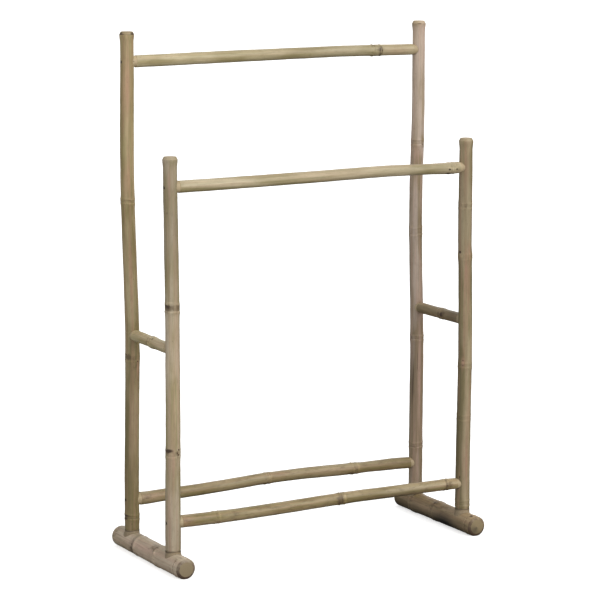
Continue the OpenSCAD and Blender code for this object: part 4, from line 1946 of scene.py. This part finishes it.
        rear_stretcher = self.pole(
            "rear_stretcher",
            finish=wood(
                "rear stretcher", "#ad9c79", "#847548", "#a68a6a", 7.3, mottle_share=0.3, speck_share=0.5,
            ),
            girth=((-290, 22.4), (-200, 21.3), (0, 20.4), (150, 20.4), (178, 19.4), (228, 20.8), (290, 20.4)),
            rings=(
                Ring(270, lip=0.5, stain=0.35, towards=90, bud=100, bud_height=0.5),
                Ring(449, lip=0.6, swell=0.6, stain=0.45, gap=9.0, towards=270, bud=180, bud_height=0.5),
            ),
            seed=23,
            bow=(
                (-288, 0), (-265, -0.5), (-240, 0.0), (-141, 1.9), (-93, 3.4), (-45, 5.5), (0, 6.2),
                (40, 6.2), (90, 4.9), (140, 3.5), (178, 2.7), (240, 1.8), (288, 0),
            ),
            light=((-290, 1.0), (0, 0.98), (290, 0.96)),
            marks=marks_of({
                # Painted shade: the DARK and MOSS bands along the lower front make the underside darker and
                # duller.
                Kind.DARK: ((300, 245, 400, 11, 0.4),),
                Kind.MOSS: ((300, 250, 400, 10, 0.4),),
                Kind.DIRT: (
                    (30, 160, 16, 9, 0.6), (262, 215, 8, 9, 0.7), (440, 225, 10, 8, 0.8),
                    (180, 240, 60, 6, 0.5),
                ),
                Kind.PALE: ((272, 160, 2.5, 7, 0.7), (455, 150, 3, 6, 0.5)),
                Kind.BLUSH: ((290, 150, 20, 6, 0.6), (40, 170, 25, 8, 0.6)),
            }),
        )
        front_stretcher = self.pole(
            "front_stretcher",
            finish=wood(
                "front stretcher", "#b3a17c", "#86774a", "#ac8d6d", 8.9, mottle_share=0.35, speck_share=0.5,
            ),
            girth=((-290, 21.8), (-150, 21.2), (0, 20.8), (100, 20.4), (290, 19.6)),
            rings=(
                Ring(86, lip=0.4, stain=0.35, bud=150, bud_height=0.4),
                Ring(331, lip=0.7, ridge=0.5, stain=0.5, gap=9.0, dirt=0.5, bud=120, bud_height=0.5),
                Ring(543, lip=0.5, stain=0.5, gap=6.0, growth=-1),
            ),
            seed=24,
            bow=(
                (-288, 0), (-230, -0.9), (-185, -1.4), (-115, -1.1), (-45, 0.0), (30, 1.5), (75, 1.8),
                (124, 1.3), (211, 1.1), (261, 0.7), (288, 0),
            ),
            light=((-290, 0.98), (0, 1.0), (290, 1.0)),
            marks=marks_of({
                Kind.STAIN: ((538, 215, 2.4, 7, 0.6), (17, 160, 0.7, 8, 0.5), (322, 205, 3, 6, 0.5)),
                # Painted shade: the DARK and MOSS bands along the lower front make the underside darker and
                # duller, most on the right part.
                Kind.DARK: ((300, 245, 400, 11, 0.4), (440, 210, 75, 12, 0.6)),
                Kind.MOSS: ((300, 250, 400, 10, 0.4),),
                Kind.BLUSH: ((22, 165, 16, 10, 0.9),),
                Kind.DIRT: (
                    (24, 170, 16, 8, 0.5), (118, 170, 12, 7, 0.6), (322, 175, 6, 12, 1.0),
                    (430, 240, 40, 6, 0.6), (550, 180, 8, 8, 0.7),
                ),
                Kind.PALE: ((88, 150, 2.0, 7, 0.6), (333, 165, 2.4, 9, 0.9)),
            }),
        )
        poles = (rear_towel_rail, front_towel_rail, rear_stretcher, front_stretcher)
        return {pole.node: pole for pole in poles}

    def rung(self, node: str, **grown: object) -> Pole:
        """A rung between the posts of one side.

        Args:
            node: The CAD node's name, such as "left_side_rung".
            **grown: Its finish, rings, seed and marks, by distance from its rear end.

        Returns:
            The rung.
        """
        at, span = self.at, self.at.rung_length
        label = node.split("_")[0]
        rear, front = (
            at_place(at.rung_height, self.SWAY[f"{label}_{frame}_post"]) for frame in ("rear", "front")
        )
        return Pole(
            node=node,
            way=Way.FORWARD,
            origin=(side_of(node) * at.half_span, at.frame_y["rear"] + at.tenon_past, at.rung_height),
            length=span,
            girth=((0, 19.6), (span / 2, 19.4), (span, 19.5)),
            sway=((0, rear), (22, rear), (span - 22, front), (span, front)),
            bore=6.45,
            **grown,
        )

    def rungs(self) -> dict[str, Pole]:
        """The two side rungs, by node."""
        span = self.at.rung_length
        left = self.rung(
            "left_side_rung",
            finish=wood("left rung", "#d0c19c", "#a59664", "#c9aa87", 9.7),
            rings=(Ring(span - 76, lip=0.6, swell=0.5, stain=0.3, gap=6.0, bud=95, bud_height=0.7),),
            seed=31,
            marks=marks_of({
                Kind.PALE: ((22, 140, 3, 9, 0.4), (span - 79, 150, 2, 9, 0.7)),
                Kind.DIRT: ((span - 84, 170, 7, 8, 0.5),),
                Kind.STAIN: ((span - 70, 125, 1.6, 2.6, 0.9),),
            }),
        )
        right = self.rung(
            "right_side_rung",
            finish=wood("right rung", "#a39172", "#7b6b4a", "#9d8366", 10.9),
            rings=(Ring(92, lip=0.5, stain=0.4, gap=7.0, bud=170, bud_height=0.5),),
            seed=32,
            marks=marks_of({
                Kind.STAIN: ((100, 178, 3.4, 4.4, 1.2), (62, 160, 3, 1.4, 0.6), (74, 200, 2.4, 1.4, 0.6)),
                Kind.DIRT: ((104, 170, 6, 8, 1.0),),
                # Painted shade: the DARK mark darkens the rung's left side, away from the light.
                Kind.DARK: ((140, 180, 30, 20, 0.5),),
            }),
        )
        return {left.node: left, right.node: right}

    def foot(self, node: str, **grown: object) -> Foot:
        """One foot with the sockets of its two posts and the holes of their screws.

        Args:
            node: The CAD node's name, such as "left_foot".
            **grown: Its finish, rings, seed, marks and light, by distance from its rear end.

        Returns:
            The foot.
        """
        at = self.at
        start, length = at.foot_start(node), at.foot_length(node)
        sinks = []
        for y in at.frame_y.values():
            sinks.append(socket(start - y, 90.0, POST_TENON_R, FOOT_SOCKET_FLOOR - FOOT_AXIS, FOOT_CELL))
            sinks.append(screw_sink(start - y, 270.0, FOOT_AXIS, FOOT_SCREW, FOOT_SCREW_FLOOR))
        return Foot(
            node=node,
            way=Way.FORWARD,
            origin=(side_of(node) * at.half_span, start, FOOT_AXIS),
            length=length,
            girth=((0, 35.6), (length / 2, 36.0), (length, 35.8)),
            sinks=tuple(sinks),
            column_count=132,
            **grown,
        )

    def feet(self) -> dict[str, Foot]:
        """The two feet, by node."""
        length = self.at.foot_length("left_foot")
        left = self.foot(
            "left_foot",
            finish=wood("left foot", "#cbbba2", "#9c8c6c", "#c4a893", 11.3, rough=0.5, bare="#8c7c5f"),
            rings=(
                Ring(
                    81, swell=-0.5, lip=0.3, ridge=0.9, groove=0.8, stain=0.2, dirt=1.0, gap=12.0,
                    towards=180,
                ),
                Ring(166, swell=0.7, stain=0.2, dirt=0.3, bud=140, bud_height=1.4, growth=-1),
                Ring(
                    length - 15, swell=0.1, lip=0.5, ridge=0.2, groove=0.6, stain=0.3, dirt=0.5, gap=3.5,
                    tilt=0.6,
                ),
            ),
            seed=41,
            marks=marks_of({
                Kind.CRACK: ((28, 152, 26, 0.9, 0.55),),
                Kind.LUMP: (
                    (150, 128, 8, 7, 1.3), (168, 140, 5, 6, 1.6), (104, 110, 10, 10, 0.9),
                    (128, 104, 7, 7, 0.9),
                ),
                Kind.DIRT: ((155, 125, 13, 9, 0.75), (60, 215, 200, 8, 0.4), (8, 150, 9, 16, 0.5)),
                Kind.DARK: ((80.5, 180, 8.0, 90, 0.7),),
                Kind.PALE: (
                    (91, 170, 4, 24, 0.35), (170, 148, 1.0, 1.2, 1.0), (length - 26, 160, 1.0, 1.0, 1.0),
                ),
                Kind.BLUSH: ((120, 160, 60, 14, 0.5),),
            }),
            light=((0, 1.0), (length, 0.98)),
        )
        length = self.at.foot_length("right_foot")
        right = self.foot(
            "right_foot",
            finish=wood("right foot", "#b69f7b", "#87734c", "#ae8e6f", 12.1, rough=0.5, bare="#8f7e5e"),
            rings=(
                Ring(60, swell=0.8, stain=0.3, dirt=0.5, bud=110, bud_height=0.9),
                Ring(132, swell=0.7, stain=0.2, dirt=0.35, bud=120, bud_height=1.3),
                Ring(
                    length - 14, swell=0.1, lip=0.5, ridge=0.2, groove=0.6, stain=0.35, dirt=0.5, gap=3.5,
                    tilt=0.6,
                ),
            ),
            seed=42,
            marks=marks_of({
                Kind.CRACK: ((length - 12, 104, 3.4, 2.2, 1.5, 0.2),),
                Kind.LUMP: (
                    (110, 105, 8, 7, 1.3), (140, 100, 7, 6, 1.4), (160, 98, 6, 6, 1.1),
                    (86, 100, 7, 8, 1.0),
                ),
                # Painted shade: the DARK marks darken the foot's underside and its left side.
                Kind.DARK: ((120, 228, 300, 19, 1.35), (178, 185, 38, 16, 0.8)),
                Kind.DIRT: ((150, 130, 50, 12, 0.4),),
                Kind.STAIN: ((40, 188, 26, 0.9, 0.5),),
            }),
            light=((0, 0.85), (length * 0.5, 0.9), (length, 0.98)),
        )
        return {left.node: left, right.node: right}

    def build(self) -> None:
        """Makes every piece of the rack."""
        posts, rails, rungs = self.posts(), self.rails(), self.rungs()
        frames = [
            CrossFrame(
                where,
                (posts[f"left_{where}_post"], posts[f"right_{where}_post"]),
                rails[f"{where}_towel_rail"],
                rails[f"{where}_stretcher"],
            )
            for where in ("rear", "front")
        ]
        for frame in frames:
            frame.make()
            frame.make_dowels(self.dowel_finish)
        for label in ("rail", "stretcher"):
            screws = [s for f in frames for s in f.screws(getattr(f, label))]
            self.make_screws(f"{label}_screw_set", f"{label}_screws", screws)
        for rung in rungs.values():
            rung.make()
        self.make_rung_hardware(posts, rungs)
        for foot in self.feet().values():
            foot.make()
        self.make_foot_hardware(posts)

    def make_screws(self, name: str, node: str, screws: Sequence[Screw]) -> None:
        """Makes one set of screws as one piece."""
        mesh = join_meshes(name, [s.build_mesh(name) for s in screws])
        finish_piece(name, mesh, self.screw_finish, node, 30.0)

    def make_rung_hardware(self, posts: dict[str, Post], rungs: dict[str, Pole]) -> None:
        """Makes the dowels in the rear ends of the rungs, and the screws behind them."""
        screws, dowels = [], []
        for label in ("left", "right"):
            rung, post = rungs[f"{label}_side_rung"], posts[f"{label}_rear_post"]
            start, way = pole_ends(rung)[0]
            dowels.append(pole_dowel(rung, start, way).build_mesh("rung_dowel"))
            outer = at_place(rung.origin[2] - post.origin[2], post.girth) / 2 - SCREW_SINK
            head = (start[0], post.origin[1] + outer, rung.origin[2])
            screws.append(Screw(head, way, *POLE_SCREW))
        dowel_set("rung", dowels, self.dowel_finish)
        self.make_screws("rung_screw_set", "rung_screws", screws)

    def make_foot_hardware(self, posts: dict[str, Post]) -> None:
        """Makes the dowels in the posts, the screws through the feet, and the collars."""
        dowels, screws, collars = [], [], []
        for number, post in enumerate(posts.values()):
            x, y, z = post.origin
            dowel = Dowel((x, y, z), (0, 0, 1), post.bore - GLUE, length=36.0, bore=2.05, bore_depth=26.0)
            dowels.append(dowel.build_mesh("post_dowel"))
            screws.append(Screw((x, y, SCREW_SINK), (0, 0, 1), *FOOT_SCREW))
            radius = at_place(post.tenon + post.taper, post.girth) / 2
            collar = Collar((x, y), radius, POST_TENON_R, spread=3.5, climb=0.75 * post.taper)
            collars.append(collar.build_mesh("collar", 60 + number))
        dowel_set("post", dowels, self.dowel_finish)
        self.make_screws("foot_screw_set", "foot_screws", screws)
        name = "post_filler_collars"
        finish_piece(name, join_meshes(name, collars), self.filler_finish, "post_collars", 50.0)


# ------------------------------------------------------------------ studio


@dataclass(frozen=True)
class Studio:
    """Pale floor, soft light from the front right and above, and the camera.

    Attributes:
        azimuth: Direction the camera looks from, in degrees.
        elevation: Its height above the object, in degrees.
        distance: Its distance from the point it looks at, in metres.
        aim: The point it looks at.
        lens: Its focal length on a 36 mm sensor.
    """

    azimuth: float = -29.07
    elevation: float = 9.81
    distance: float = 4.544
    aim: tuple[float, float, float] = (-0.001, -0.003, 0.4305)
    lens: float = 157.1

    FLOOR_ROWS = 12
    FLOOR_COLUMNS = 96
    # Name, direction from the rack, strength, and apparent width in degrees.
    SOFTBOXES = (
        ("front_softbox", (0.24, -0.78, 0.50), 1.5, 50.0),
        ("back_softbox", (0.66, 0.68, 0.32), 0.8, 70.0),
    )

    def camera(self) -> None:
        """Makes the camera and makes it the scene's."""
        data = bpy.data.cameras.new("camera")
        data.lens = self.lens
        data.sensor_width = 36.0
        data.clip_end = 200.0
        camera = bpy.data.objects.new("camera", data)
        turn, lift = math.radians(self.azimuth), math.radians(self.elevation)
        back = np.array([math.sin(turn) * math.cos(lift), -math.cos(turn) * math.cos(lift), math.sin(lift)])
        camera.location = tuple(np.array(self.aim) + self.distance * back)
        camera.rotation_euler = (math.pi / 2 - lift, 0.0, turn)
        bpy.context.scene.collection.objects.link(camera)
        bpy.context.scene.camera = camera

    def floor(self) -> None:
        """Makes the floor, a wide round sheet, and its matt finish."""
        rows, cols = self.FLOOR_ROWS, self.FLOOR_COLUMNS
        radius = np.geomspace(0.5, 70.0, rows)[:, None] + np.zeros(cols)
        verts = np.vstack([turned(radius, 0 * radius, cols).reshape(-1, 3), [[0.0, 0.0, 0.0]]])
        here = np.arange(rows * cols).reshape(rows, cols)
        right = np.roll(here, -1, axis=1)
        quads = np.stack([here[:-1], here[1:], right[1:], right[:-1]], axis=-1).reshape(-1, 4)
        fan = np.stack([np.full(cols, rows * cols), here[0], right[0]], axis=-1)
        mesh = bpy.data.meshes.new("studio_floor")
        mesh.from_pydata(verts.tolist(), [], quads.tolist() + fan.tolist())
        mesh.update()
        material, g = new_material("matt pale floor paint")
        place = g.add("TexCoord").outputs["Object"]
        noise = g.add("TexNoise", {"Vector": place}, {"Scale": 3.0, "Detail": 2.0})
        colour = g.add(
            "Mix", {0: noise.outputs["Fac"]}, {6: linear("#f6f6f5"), 7: linear("#f4f4f3")}, data_type="RGBA"
        ).outputs[2]
        shader = g.add(
            "BsdfPrincipled",
            {"Base Color": colour},
            {"Roughness": 0.9, "Specular IOR Level": 0.1},
            {"Emission Color": linear("#ffffff"), "Emission Strength": 0.6},
        )
        g.add("OutputMaterial", {"Surface": shader.outputs[0]})
        mesh.materials.append(material)
        floor = bpy.data.objects.new("studio_floor", mesh)
        floor.visible_diffuse = False
        floor.visible_glossy = False
        bpy.context.scene.collection.objects.link(floor)

    def lights(self) -> None:
        """Makes two far softboxes, in front and behind."""
        for name, direction, strength, spread in self.SOFTBOXES:
            data = bpy.data.lights.new(name, "SUN")
            data.energy = strength
            data.angle = math.radians(spread)
            data.color = (1.0, 0.985, 0.96)
            lamp = bpy.data.objects.new(name, data)
            way = np.array(direction) / np.linalg.norm(direction)
            lamp.rotation_euler = (math.acos(way[2]), 0.0, math.atan2(way[0], -way[1]))
            lamp.location = tuple(3.0 * way)
            bpy.context.scene.collection.objects.link(lamp)

    def room(self) -> None:
        """Makes the dim room: brighter towards one upper corner, and white to the camera."""
        world = bpy.data.worlds.new("studio")
        world.use_nodes = True
        g = Graph(world)
        coords = g.add("TexCoord")
        corner = g.add(
            "VectorMath",
            {0: coords.outputs["Generated"], 1: (-0.55, -0.55, 0.63)},
            operation="DOT_PRODUCT",
        )
        shine = g.add(
            "MapRange",
            {"Value": corner.outputs["Value"]},
            {"From Min": -0.9, "From Max": 0.9, "To Min": 0.02, "To Max": 0.75},
            interpolation_type="SMOOTHSTEP",
        )
        path = g.add("LightPath")
        dim = g.add("Background", {"Strength": shine.outputs["Result"]}, {0: (0.97, 0.98, 1.0, 1.0)})
        white = g.add("Background", {0: (1.0, 1.0, 1.0, 1.0)})
        blend = g.add("MixShader", {0: path.outputs["Is Camera Ray"], 1: dim.outputs[0], 2: white.outputs[0]})
        g.add("OutputWorld", {0: blend.outputs[0]})
        bpy.context.scene.world = world
        bpy.context.scene.view_settings.view_transform = "Standard"

    def build(self) -> None:
        """Sets up camera, floor, lights and room."""
        self.camera()
        self.floor()
        self.lights()
        self.room()


def main() -> None:
    """Loads the frame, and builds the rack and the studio."""
    logging.basicConfig(level=logging.INFO, format="%(message)s")
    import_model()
    Workshop().build()
    Studio().build()


if __name__ == "__main__":
    main()
